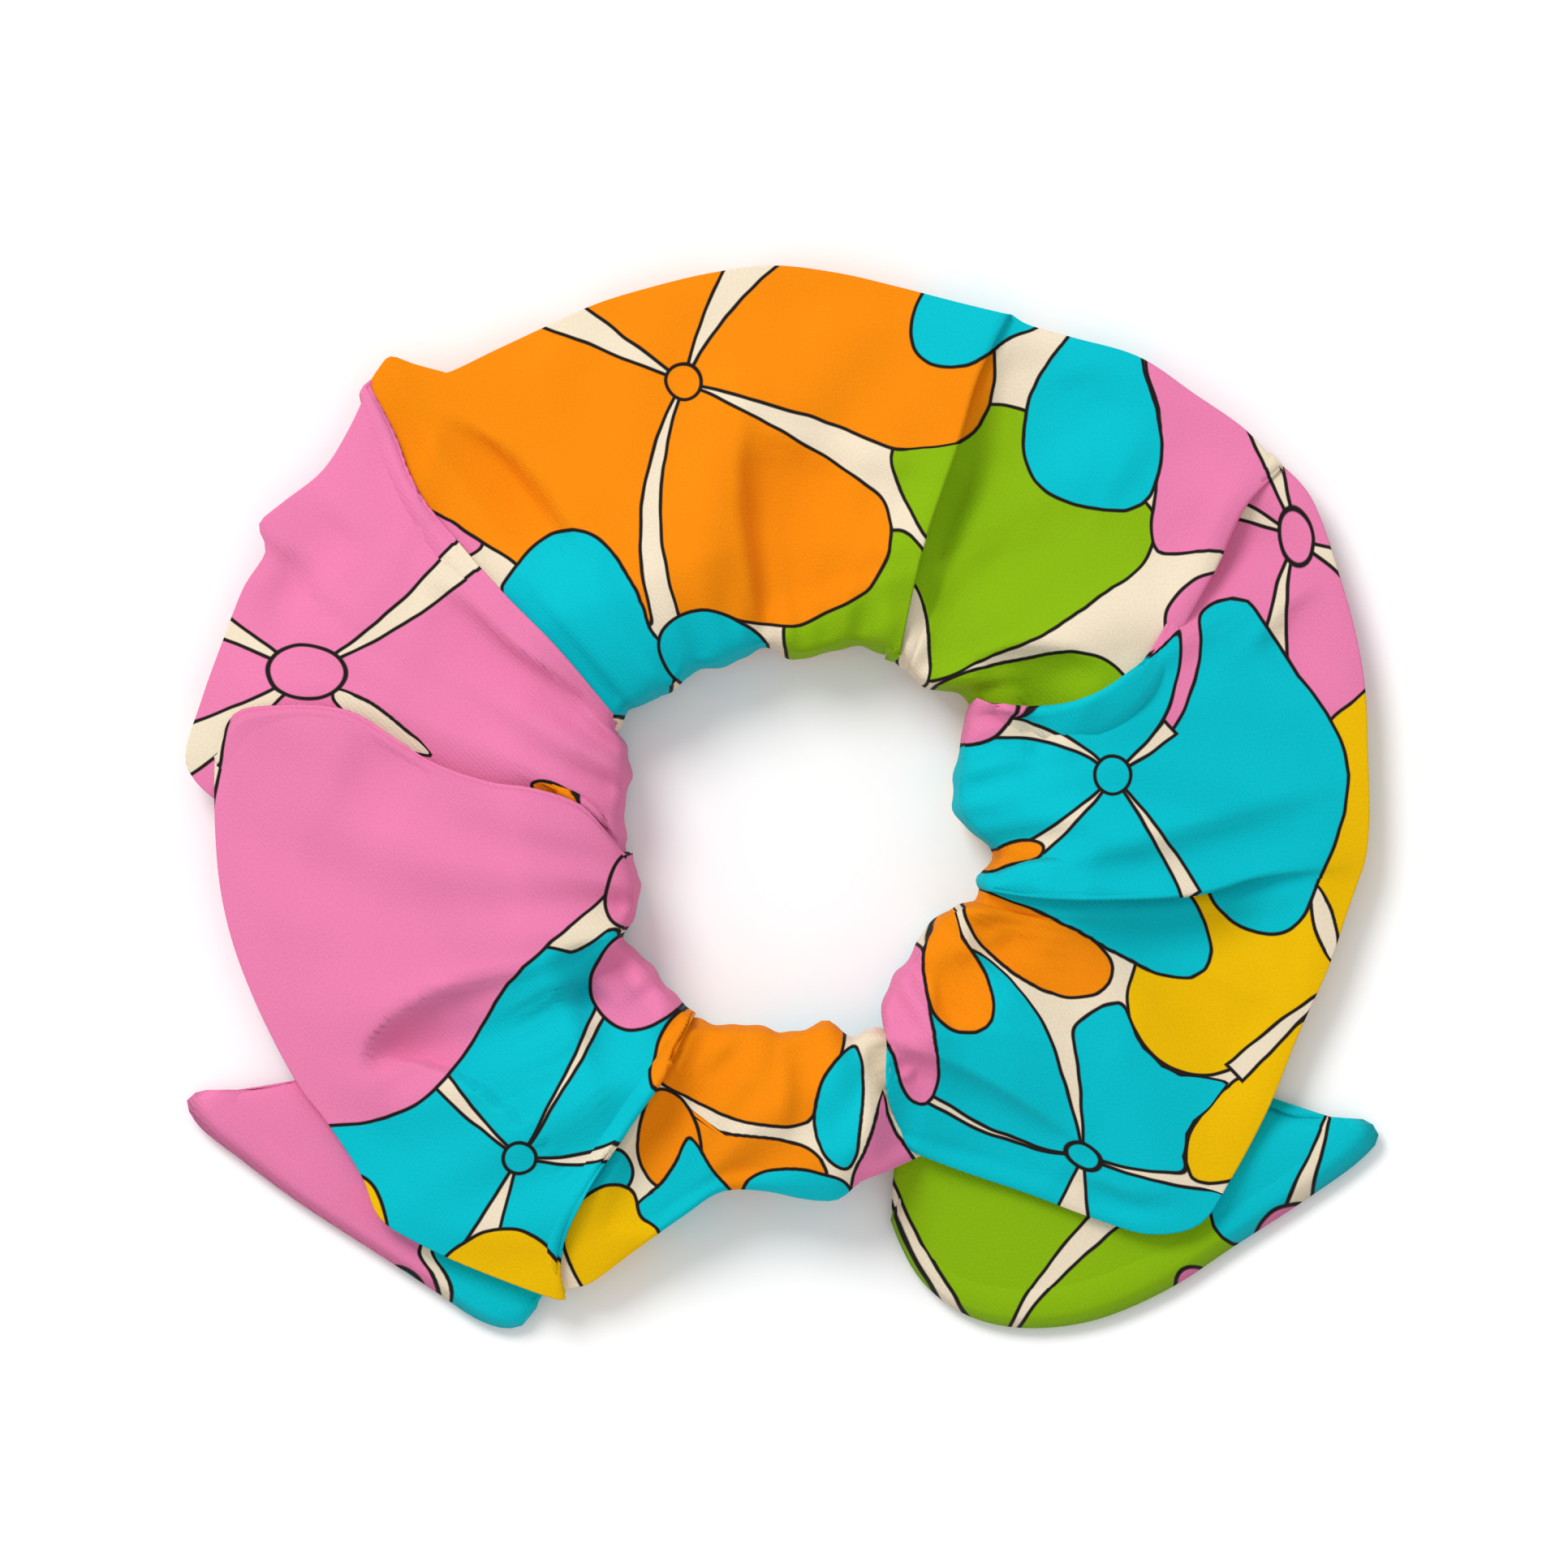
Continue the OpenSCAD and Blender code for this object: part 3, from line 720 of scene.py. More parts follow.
PRINT = {
    LOWER_RIGHT: ("cream", [
        shape("yellow", (41.2, -19.3), (41.6, -22.8), (43.8, -26.5), (47.3, -28.8), (51.3, -29.3),
            (54.4, -28.4), (59, -24.6), (65.3, -19.4), (74, -13), (76, 0), (60, 4), (46, -2), (42.4, -15)),
        shape("yellow", (48.3, -39.8), (48.9, -36.3), (52.3, -31.8), (56.8, -28.3), (62.3, -23),
            (67, -20.5), (70, -26), (60, -38), (54.6, -42.2), (51.2, -42.6), (49.1, -41.9)),
        strip((65.8, -18.6), (54.4, -29), 2.9, grows=0.6, closed=True),
        LEAF_GAP,
        shape("cyan", (11, -18), (22, -13.4), (25.2, -16), (28.7, -19.6), (30.7, -22.6), (33.2, -25),
            (34.6, -23.4), (36.7, -21.3), (38.9, -20.3), (40.8, -20.4), (41.6, -23), (43.6, -26.6),
            (47.2, -29.2), (51.2, -29.8), (54, -30.2), (51.6, -32.4), (48.6, -36.2), (48, -39.8),
            (48.9, -42.4), (51, -43.2), (58, -46), (50, -54), (30, -54), (12, -46), (6, -34), (7, -24),
            centre=LOWER_EYE, cuts=[gap(LOWER_EYE, (16.4, -31.8), 1.1, bow=1.3, closed=True),
            gap(LOWER_EYE, (32.2, -21.8), 3.4, bow=-0.5), gap(LOWER_EYE, (48.8, -42.2), 1.7, bow=-0.5),
            gap(LOWER_EYE, (34.6, -45), 3.2)]),
        shape("pink", (16.2, -13.6), (16.4, -17.5), (16.8, -21.5), (17.7, -26), (18, -29), (17.6, -31.6),
            (16.4, -32.9), (14.9, -32.5), (13.7, -31.2), (12.9, -28.8), (12.3, -26.4), (10, -22.5),
            (11.5, -17), (14, -13)),
        shape("orange", (16.1, -13.8), (17.5, -10), (19.2, -7.4), (20.2, -9.2), (20.6, -12.2),
            (22.7, -14.9), (23.9, -17.2), (24.7, -20), (24.6, -22.4), (23.4, -23.8), (21.4, -24.2),
            (19.3, -23.6), (17.5, -22.1), (16.6, -19.6)),
        shape("orange", (21, -6.4), (23.6, -5), (27.3, -5.9), (31.3, -9), (37.3, -12.8), (39.5, -15.8),
            (38.8, -18.3), (35.8, -19.8), (31.3, -19), (26.8, -16.5), (23.6, -13.6), (21.6, -11)),
        shape("cyan", (22.6, -6.4), (28.4, -8.2), (34.3, -11), (40.3, -14.6), (45.3, -16.9), (48.6, -17.5),
            (50.9, -16.2), (51.6, -13.3), (50.5, -10), (48.6, -6.8), (44, -3), (30, -2), (22, -3)),
        shape("cyan", (51, -6.8), (54.8, -10.8), (58.3, -11.9), (60.5, -11.6), (63.2, -9.3), (64.6, -5.5),
            (66, 1), (52, 1)),
        oval("cyan", *LOWER_EYE, 2.4, 1.4, -28),
    ]),
    RIGHT: ("pink", PINK_FLOWER_GAPS + [
        PINK_FLOWER_EYE,
        shape("yellow", (66.2, 14.4), (70.9, 18.2), (84, 28), (84, -24), (44, -24), (44, -6), (56, 2)),
        LEAF_GAP,
        CYAN_FLOWER,
        strip(CYAN_EYE, (25.2, 13.7), 3, bow=-1.6, closed=True),
        shape("pink", (22.4, 11.6), (24.9, 12.3), (26.4, 14), (27.2, 15.6), (29.6, 16.8), (31, 19),
            (24, 22), (18, 18), (18, 12)),
        strip(CYAN_EYE, (30.2, -1), 2.3, bow=0.5, closed=True),
        strip(CYAN_EYE, (46.4, 13.7), 2.2, bow=-0.3, closed=True),
        strip(CYAN_EYE, (49.2, -7.4), 2.5, bow=0.5, closed=True),
        shape("orange", (22.6, -3.9), (25.6, -1), (29.2, -0.2), (30.9, -1), (30.4, -2.5), (27, -3.2),
            (24, -4.4)),
        oval("cyan", *CYAN_EYE, 2.3, 2.3),
    ]),
    UPPER_RIGHT: ("cream", [
        shape("green", (24.9, 53.4), (28.7, 52.7), (33, 50), (40, 44), (43.9, 41.2), (44.8, 39.2),
            (44.2, 35.6), (42.2, 33), (37.2, 29.2), (29.7, 24.3), (22.7, 21.8), (17.7, 19.1), (14.5, 19.6),
            (13.4, 27), (12, 42), (20, 53)),
        shape("cream", (14.9, 31.6), (16.2, 27.6), (16.9, 23.4), (16.7, 18.6), (14.4, 18.6), (12.6, 23),
            (12.6, 29)),
        shape("green", (17.7, 19), (26.8, 21.6), (34.3, 23), (38, 22.2), (41, 19.9), (42, 16), (36, 8),
            (24, 9), (16, 15)),
        ORANGE_FLOWER,
        TOP_CYAN,
        shape("pink", (43.3, 58.6), (45, 53.2), (45.4, 47.2), (44.2, 39.2), (44.7, 35.1), (48.3, 35),
            (53.1, 35.4), (60, 30), (80, 30), (84, 60), (56, 68), (44, 64)),
        shape("pink", (51.9, 32.6), (48.2, 31.1), (45.9, 27.6), (46.2, 24), (47, 18), (54, 14), (60, 18),
            (60, 30), (55, 33)),
        shape("cyan", (34.3, 61.8), (30.5, 57.4), (28.5, 51.6), (28.9, 45), (32.2, 41.9), (36.5, 40.7),
            (40.8, 40.2), (44, 41.9), (45.5, 47.5), (45, 51.6), (42.9, 59), (42, 66), (37, 67)),
        PINK_FLOWER_GAPS[0],
    ]),
    TOP: ("cream", [
        shape("green", (-1.2, 26.6), (-0.9, 23.4), (1, 18), (12, 16), (20, 22), (19, 31), (16.8, 34.2),
            (14.8, 37.2), (12.9, 38), (10, 37), (3, 31)),
        shape("green", (12.1, 48.4), (12.6, 44.4), (14.8, 39.6), (17.2, 36.2), (20, 34), (28, 40), (30, 50),
            (20, 54)),
        shape("pink", (-38, 36.3), (-39.4, 34.9), (-44, 33.6), (-48, 39), (-43, 42.4)),
        ORANGE_FLOWER,
        shape("cyan", (-34.2, 33), (-31.2, 36.7), (-27.2, 38.2), (-23.4, 36.4), (-20.2, 32.2),
            (-18.6, 28.2), (-17.4, 25.2), (-15.6, 22.9), (-14.4, 21), (-15.2, 17.6), (-19, 14.9), (-26, 16),
            (-35, 27), (-36, 31)),
        shape("cyan", (-16.7, 23), (-15.9, 25.7), (-13.7, 27.5), (-10.7, 28), (-7.2, 27), (-4.2, 25),
            (-2.8, 22.9), (-5, 18), (-13, 18)),
        TOP_CYAN,
        oval("orange", *ORANGE_EYE, 2.2, 2.2),
    ]),
    UPPER_LEFT: ("pink", [
        strip((-59.9, 20.4), (-39, 35.9), 4.6, bow=-1.1),
        strip((-59.9, 20.4), (-70.5, 26.2), 2.7, bow=0.2),
        strip((-59.9, 20.4), (-75, 10.8), 6, bow=0.4),
        shape("cream", (-56.5, 18.4), (-54, 17.5), (-51.6, 16.4), (-48.4, 13.8), (-44.1, 10), (-47, 10.4),
            (-52.5, 13.6), (-56.6, 16.6)),
        shape("orange", (-32.4, 6.6), (-30, 6.9), (-27.6, 5.7), (-26.2, 4.2), (-28, 3.6), (-31, 4.8)),
        oval("pink", -59.9, 20.4, 4.8, 3.3, -4),
    ]),
    LEFT: ("cream", [
        shape("cyan", (-30.9, -13.4), (-27, -14.2), (-25.2, -13.2), (-22, -10.8), (-17, -14), (-10, -24),
            (-10, -32), (-18, -40.2), (-21.8, -44), (-25, -49), (-30, -56), (-42, -60), (-54, -52),
            (-60, -42), (-60, -25), (-44, -14), centre=LEFT_EYE, cuts=LEFT_BLUE_GAPS),
        shape("pink", (-21.1, -2.2), (-21.6, -5.2), (-23.4, -7.8), (-28, -11.1), (-31.1, -14.2),
            (-34.6, -17.2), (-37.5, -21.8), (-42.2, -29.3), (-46.7, -33.3), (-52.2, -35.1), (-57.2, -35.3),
            (-64, -36), (-76, -30), (-84, 0), (-76, 24), (-60, 28), (-35, 20), (-15, 6), centre=(-52, -6)),
        shape("pink", (-21.2, -2.2), (-22.5, -5), (-23.1, -7.8), (-22.7, -9.8), (-21.3, -10.9), (-16, -12),
            (-14, -6), (-17, -1)),
        shape("pink", (-24.2, -15.3), (-25, -19), (-23.7, -21.8), (-21.2, -23.6), (-17.9, -23.4),
            (-14.9, -21.6), (-10, -17), (-14, -11), (-21.5, -12)),
        shape("orange", (-14.2, -21.4), (-16.2, -24), (-17, -27.6), (-17.3, -31), (-14, -34), (-6, -28),
            (-8, -20)),
        shape("yellow", (-44, -53), (-40.6, -49.9), (-37.7, -48.4), (-34.2, -48.1), (-30.7, -49.9),
            (-27.4, -53.6), (-25, -58), (-32, -64), (-44, -58)),
        shape("yellow", (-54, -41.4), (-51.7, -43), (-50.3, -46), (-50.1, -49.5), (-54, -51), (-58, -44)),
        strip((-69, 17), (-71.5, 10), 2.4),
        oval("cyan", *LEFT_EYE, 2, 1.9),
    ]),
    WAIST: ("cream", [
        shape("cyan", (-25.4, -39.4), (-21.8, -38.2), (-19.8, -40.2), (-20.2, -43.2), (-22.6, -44.2),
            (-26, -44)),
        shape("orange", (-17.4, -29.6), (-13, -31.8), (-8.7, -34.2), (-3.2, -35.5), (1.9, -35.3),
            (3.2, -32.6), (4.6, -29.4), (6.3, -26), (6, -20), (-4, -18), (-14, -20)),
        shape("orange", (-14.9, -31.2), (-12.7, -34.2), (-9.2, -36.4), (-4.7, -37), (-0.7, -37.4),
            (2.8, -38.8), (4.2, -41), (3.4, -44), (-2, -48), (-10, -48), (-14, -40)),
        shape("orange", (-16.9, -31), (-18.5, -34), (-19.2, -38), (-18.2, -41.5), (-15.5, -43.9),
            (-12, -42), (-11.5, -36), (-14.4, -31.6)),
        shape("cyan", (-12.8, -36.6), (-14.6, -40.4), (-17.2, -43.8), (-19.4, -45.2), (-19.4, -47.2),
            (-17, -48.6), (-12, -50), (-6, -46), (-9, -42.2), (-11.2, -39.2), centre=(-12.8, -44)),
        shape("cyan", (-5.9, -42.6), (-3.2, -41), (0.8, -40.8), (4.3, -41.7), (7.2, -43.2), (8, -48),
            (-6, -48)),
        shape("yellow", (-28, -47.4), (-25.2, -43.9), (-21.7, -42.7), (-19.4, -43.8), (-19, -46.8),
            (-16.3, -48.4), (-18, -54), (-24.2, -58), (-27.2, -53), (-28.4, -50)),
        shape("cyan", (6.2, -26.6), (7.9, -25.4), (8.6, -30), (8.2, -37), (6.9, -41), (4.8, -40.2),
            (2.9, -36.9), (2.6, -33.6), (3.9, -29.6)),
        shape("pink", (11.1, -30.8), (10.3, -34.5), (9.1, -38.1), (7.3, -41.8), (8, -48), (18, -46),
            (15, -39.6), (12.6, -36.4), (11.5, -33.6)),
    ]),
    EAR_RIGHT: ("green", [
        strip((10.6, -38), (21.6, -59.6), 1.6, bow=-1.5, grows=0.2),
        strip((25.4, -62.6), (41.4, -44.6), 3.9, bow=1, grows=0.7),
        shape("cyan", (51.3, -44), (51.6, -47.8), (54.1, -50), (57.5, -49.2), (62, -54), (84, -44),
            (78, -26), (54, -26), (49.4, -38)),
        strip((67, -31), (61.8, -45.4), 2.5, bow=0.3),
        shape("pink", (56.3, -49.4), (58.2, -46.2), (61.2, -44.9), (64, -44.8), (64, -52), (58, -54)),
        shape("pink", (46.9, -54.6), (48.2, -52.9), (50.6, -52.7), (53, -56), (47, -59)),
    ]),
    EAR_LEFT: ("pink", [
        shape("cream", (-46.6, -50), (-44.6, -53.4), (-42.9, -56.6), (-44, -60), (-32, -66), (-24, -58),
            (-32, -46)),
        shape("cyan", (-44.9, -50), (-43.3, -53), (-41.6, -56.6), (-43, -60), (-32, -64), (-27, -57),
            (-32, -46)),
        shape("cyan", (-50, -52.6), (-47.6, -52.8), (-45.4, -54.6), (-44.2, -57.4), (-47, -60), (-54, -56)),
        strip((-29, -56), (-32.4, -62), 2.4),
    ]),
}


class Press:
    """Prints shapes in turn on a ground colour, in one finish."""

    def __init__(self, finish, ground):
        self.finish = finish
        place = finish.node("UVMap", {"uv_map": "print"}).outputs[0]
        wobble = finish.noise(place, 5.0, 1.0, "Color")
        shift = finish.vectors("SUBTRACT", wobble, (0.5, 0.5, 0.5))
        moved = finish.vectors("MULTIPLY_ADD", shift, (2 * PRINT_WOBBLE * MM,) * 3, place)
        self.place = finish.vectors("SCALE", moved, 1 / MM)
        self.x, self.y = finish.parts_of(self.place)
        self.colour = INKS[ground]

    def along(self, origin, angle, size=1.0):
        """How far a point lies from the origin in this direction, in sizes."""
        c, s = math.cos(angle) / size, math.sin(angle) / size
        return self.x.times_plus(c, self.y.times_plus(s, -origin[0] * c - origin[1] * s))

    def gap_distance(self, g):
        (x0, y0), (x1, y1) = g["start"], g["end"]
        angle, length = math.atan2(y1 - y0, x1 - x0), math.hypot(x1 - x0, y1 - y0)
        t = self.along(g["start"], angle, length)
        side = self.along(g["start"], angle + math.pi / 2)
        if g["bow"]:
            side = side - t * (1 - t) * (4 * g["bow"])
        reach = t.most(0) ** g["grows"] if g["grows"] != 1 else t
        distance = abs(side) - reach * (g["width"] / 2)
        distance = distance.most(t * -length)
        return distance.most(t.times_plus(length, -length)) if g["closed"] else distance

    def oval_distance(self, x, y, long, wide, tilt):
        angle = math.radians(tilt)
        u, v = self.along((x, y), angle, long), self.along((x, y), angle + math.pi / 2, wide)
        return (u * u + v * v).math("SQRT").times_plus(min(long, wide), -min(long, wide))

    def edge_distance(self, points, centre):
        stops, far, centre = edge_stops(points, centre)
        dx, dy = self.x - centre[0], self.y - centre[1]
        turn = dy.math("ARCTAN2", dx).times_plus(1 / math.tau, 0.5)
        ramp = self.finish.node("ValToRGB", {"stops": stops}, {"Fac": turn})
        parts = self.finish.node("SeparateColor", {}, {0: ramp.outputs["Color"]})
        reach, slant = Value(self.finish, parts.outputs[0]), Value(self.finish, parts.outputs[1])
        away = (dx * dx + dy * dy).math("SQRT")
        return (away - reach * far) * slant

    def add(self, item):
        if "gap" in item:
            distance = self.gap_distance(item["gap"])
        elif "oval" in item:
            distance = self.oval_distance(*item["oval"])
        else:
            distance = self.edge_distance(item["points"], item["centre"])
        for cut in item["cuts"]:
            distance = distance.math("SMOOTH_MAX", -self.gap_distance(cut), PETAL_ROUNDING)
        self.lay(distance, INKS[item["colour"]])

    def lay(self, distance, ink):
        """Inks what is inside an edge, and the line on it."""
        inside = distance.times_plus(-1 / LINE_SOFT, 0.5, clamp=True)
        on_line = abs(distance).times_plus(-1 / LINE_SOFT, LINE_HALF / LINE_SOFT + 0.5, clamp=True)
        self.colour = self.finish.blend(inside, self.colour, ink)
        self.colour = self.finish.blend(on_line, self.colour, INKS["line"])


MOST_STOPS = 32


def edge_stops(points, centre):
    """The edge as ramp stops over one turn: how far it is from the centre, and how much it slants."""
    points = np.array(points, float)
    centre = np.array(centre if centre else points.mean(axis=0), float)
    knots = np.linspace(0, len(points), 40 * len(points), endpoint=False)
    curve = blurred(through(points, knots, closed=True) - centre, 12)
    turn = (np.arctan2(curve[:, 1], curve[:, 0]) / math.tau + 0.5) % 1
    reach = np.linalg.norm(curve, axis=1)
    order = np.argsort(turn)
    grid = np.linspace(0, 1, 721)
    reach = np.interp(grid, turn[order], reach[order], period=1)
    slope = np.gradient(np.concatenate([reach[-3:-1], reach, reach[1:3]]), grid[1] * math.tau)[2:-2]
    slant = 1 / np.sqrt(1 + (slope / reach) ** 2)
    kept = [0, 180, 360, 540, 720]
    while len(kept) < MOST_STOPS:
        error = abs(np.interp(grid, grid[kept], reach[kept]) - reach) * slant
        kept = sorted(kept + [int(np.argmax(error))])
        if len(set(kept)) < len(kept):
            kept = sorted(set(kept))
            break
    far = float(reach.max())
    return [(float(grid[k]), (float(reach[k] / far), float(slant[k]), 0, 1)) for k in kept], far, centre


KNIT_GRAIN = 0.32
MOTTLING = 7
WALES_SCALE = 900


def add_cloth_feel(finish, colour):
    """The cloth itself: a fine knit grain, soft mottling and a dry surface."""
    place = finish.node("UVMap", {"uv_map": "print"}).outputs[0]
    grain = finish.noise(place, KNIT_GRAIN)
    cloud = finish.noise(place, MOTTLING)
    shade = grain.times_plus(0.17, 0.915) * cloud.times_plus(0.06, 0.97)
    tone = finish.node("CombineColor", {}, {0: shade, 1: shade, 2: shade}).outputs[0]
    finish.link(finish.blend(1.0, colour, tone, "MULTIPLY"), "Base Color")
    finish.link(grain.times_plus(0.16, 0.74), "Roughness")
    wales = finish.stripes(place, WALES_SCALE, Distortion=3.0, Detail=1.0, Detail_Scale=2.0)
    finish.bump(grain * 0.7 + wales * 0.3, 0.6, 0.12)


PANEL_NAMES = {
    LOWER_RIGHT: "lower right", RIGHT: "right", UPPER_RIGHT: "upper right", TOP: "top",
    UPPER_LEFT: "upper left", LEFT: "left", WAIST: "waist", EAR_RIGHT: "right ear", EAR_LEFT: "left ear",
    UNDERSIDE: "underside",
}


def cloth_finish(panel):
    return Finish("printed cloth, " + PANEL_NAMES[panel],
                  Sheen_Weight=0.03, Sheen_Roughness=0.4, Specular_IOR_Level=0.06)


def printed_cloth(panel):
    finish = cloth_finish(panel)
    ground, items = PRINT[panel]
    press = Press(finish, ground)
    for item in items:
        press.add(item)
    add_cloth_feel(finish, press.colour)
    return finish.material


FLOWER_SPACING = 30
FLOWER_EDGE = 1.6
FLOWER_EYE = 2.2


def scattered_print():
    """The same kind of flowers, strewn without a plan, for the underside."""
    finish = cloth_finish(UNDERSIDE)
    press = Press(finish, "cream")
    flat = {"Vector": press.place, "Scale": 1 / FLOWER_SPACING, "Randomness": 0.6}
    cells = finish.node("TexVoronoi", {"feature": "F1", "voronoi_dimensions": "2D"}, flat)
    edges = finish.node("TexVoronoi", {"feature": "DISTANCE_TO_EDGE", "voronoi_dimensions": "2D"}, flat)
    random = finish.node("SeparateColor", {}, {0: cells.outputs["Color"]})
    dx, dy = finish.parts_of(finish.vectors("SUBTRACT", press.place, cells.outputs["Position"]))
    away = (dx * dx + dy * dy).math("SQRT")
    turn = dy.math("ARCTAN2", dx) + Value(finish, random.outputs[1]) * 3.0
    petal = abs((turn * 2).math("SINE"))
    body = FLOWER_EDGE - Value(finish, edges.outputs["Distance"]) * FLOWER_SPACING
    inks = [INKS[name] for name in ("orange", "pink", "cyan", "green", "yellow")]
    stops = [(k / len(inks), ink) for k, ink in enumerate(inks)]
    ramp = finish.node("ValToRGB", {"stops": stops}, {"Fac": Value(finish, random.outputs[0])})
    ramp.color_ramp.interpolation = "CONSTANT"
    press.lay(body.most(0.9 - away * petal * 0.5), ramp.outputs["Color"])
    press.lay(away - FLOWER_EYE, ramp.outputs["Color"])
    add_cloth_feel(finish, press.colour)
    return finish.material


# ---------------------------------------------------------------- camera, floor and light

VIEW_WIDTH = 0.1932
VIEW_CENTRE = (-0.0011, 0.0066)
VIEW_HEIGHT = 0.6
ROOM_LIGHT = 0.75


def make_camera():
    data = bpy.data.cameras.new("camera")
    data.type = "ORTHO"
    data.ortho_scale = VIEW_WIDTH
    made = put_in_scene("camera", data)
    made.location = (*VIEW_CENTRE, VIEW_HEIGHT)
    bpy.context.scene.camera = made


def area_light(name, place, size, watts):
    """A round soft light that shines on the origin."""
    data = bpy.data.lights.new(name, "AREA")
    data.shape = "DISK"
    data.size = size
    data.energy = watts
    made = put_in_scene(name, data)
    made.location = place
    made.rotation_euler = (-Vector(place)).to_track_quat("-Z", "Y").to_euler()


def make_stage():
    bpy.ops.mesh.primitive_plane_add(size=6)
    floor = bpy.context.object
    floor.name = "floor"
    paper = bpy.data.materials.new("white paper")
    paper.use_nodes = True
    shader = paper.node_tree.nodes["Principled BSDF"]
    shader.inputs["Base Color"].default_value = (0.96, 0.96, 0.96, 1)
    shader.inputs["Roughness"].default_value = 0.9
    floor.data.materials.append(paper)
    world = bpy.data.worlds.new("soft white room")
    world.use_nodes = True
    background = world.node_tree.nodes["Background"]
    background.inputs["Color"].default_value = (1, 1, 1, 1)
    background.inputs["Strength"].default_value = ROOM_LIGHT
    bpy.context.scene.world = world
    area_light("key", (-1.3, 1.8, 2.3), 1.5, 60)
    bpy.context.scene.view_settings.view_transform = "Standard"


# ---------------------------------------------------------------- elastic and stitches, by geometry nodes

SOCKET_TYPES = {float: "NodeSocketFloat", int: "NodeSocketInt", type(None): "NodeSocketMaterial"}


def node_tree(name, inputs):
    """An empty geometry tree with these named inputs."""
    tree = bpy.data.node_groups.new(name, "GeometryNodeTree")
    for way in ("INPUT", "OUTPUT"):
        tree.interface.new_socket("Geometry", in_out=way, socket_type="NodeSocketGeometry")
    for label, value in inputs.items():
        socket = tree.interface.new_socket(label, in_out="INPUT", socket_type=SOCKET_TYPES[type(value)])
        if value is not None:
            socket.default_value = value
    return tree


def maths(tree, operation, *terms):
    return add_node(tree, "ShaderNodeMath", {"operation": operation}, dict(enumerate(terms))).outputs[0]


def give_out(tree, geometry, given):
    """Ends a tree: real, smooth geometry in the material that the tree is given."""
    real = add_node(tree, "GeometryNodeRealizeInstances", {}, {0: geometry})
    smooth = add_node(tree, "GeometryNodeSetShadeSmooth", {}, {0: real.outputs[0]})
    dressed = add_node(tree, "GeometryNodeSetMaterial", {},
                       {"Geometry": smooth.outputs[0], "Material": given["Material"]})
    add_node(tree, "NodeGroupOutput", {}, {"Geometry": dressed.outputs[0]})
    return tree


def stitch_row_tree():
    """Stitches one pitch apart along a line, turned by turns to the left and to the right."""
    tree = node_tree("stitch row", {"Pitch": 0.003, "Length": 0.0022, "Thread": 0.0004, "Turn": 0.0,
                                    "Jitter": 0.08, "Seed": 3, "Material": None})
    given = add_node(tree, "NodeGroupInput").outputs
    line = add_node(tree, "GeometryNodeMeshToCurve", {}, {"Mesh": given["Geometry"]})
    spaced = add_node(tree, "GeometryNodeResampleCurve", {"mode": "LENGTH"},
                      {"Curve": line.outputs[0], "Length": given["Pitch"]})
    ball = add_node(tree, "GeometryNodeMeshUVSphere", {}, {"Segments": 10, "Rings": 8, "Radius": 0.5})
    size = add_node(tree, "ShaderNodeCombineXYZ", {},
                    {"X": given["Length"], "Y": given["Thread"], "Z": given["Thread"]})
    stitch = add_node(tree, "GeometryNodeTransform", {},
                      {"Geometry": ball.outputs["Mesh"], "Scale": size.outputs[0]})
    tangent = add_node(tree, "GeometryNodeInputTangent")
    up = add_node(tree, "GeometryNodeInputNamedAttribute", {"data_type": "FLOAT_VECTOR"}, {"Name": "up"})
    lengthways = add_node(tree, "FunctionNodeAlignRotationToVector", {"axis": "X"},
                          {"Vector": tangent.outputs[0]})
    upright = add_node(tree, "FunctionNodeAlignRotationToVector", {"axis": "Z", "pivot_axis": "X"},
                       {"Rotation": lengthways.outputs[0], "Vector": up.outputs[0]})
    odd = maths(tree, "FLOORED_MODULO", add_node(tree, "GeometryNodeInputIndex").outputs[0], 2.0)
    turn = maths(tree, "MULTIPLY", maths(tree, "MULTIPLY_ADD", odd, 2.0, -1.0), given["Turn"])
    least = maths(tree, "MULTIPLY", given["Jitter"], -1.0)
    random = add_node(tree, "FunctionNodeRandomValue", {"data_type": "FLOAT"},
                      {2: least, 3: given["Jitter"], "Seed": given["Seed"]})
    spin = add_node(tree, "FunctionNodeAxisAngleToRotation", {},
                    {"Axis": (0, 0, 1), "Angle": maths(tree, "ADD", turn, random.outputs[1])})
    turned = add_node(tree, "FunctionNodeRotateRotation", {"rotation_space": "LOCAL"},
                      {"Rotation": upright.outputs[0], "Rotate By": spin.outputs[0]})
    row = add_node(tree, "GeometryNodeInstanceOnPoints", {},
                   {"Points": spaced.outputs[0], "Instance": stitch.outputs[0],
                    "Rotation": turned.outputs[0]})
    return give_out(tree, row.outputs[0], given)


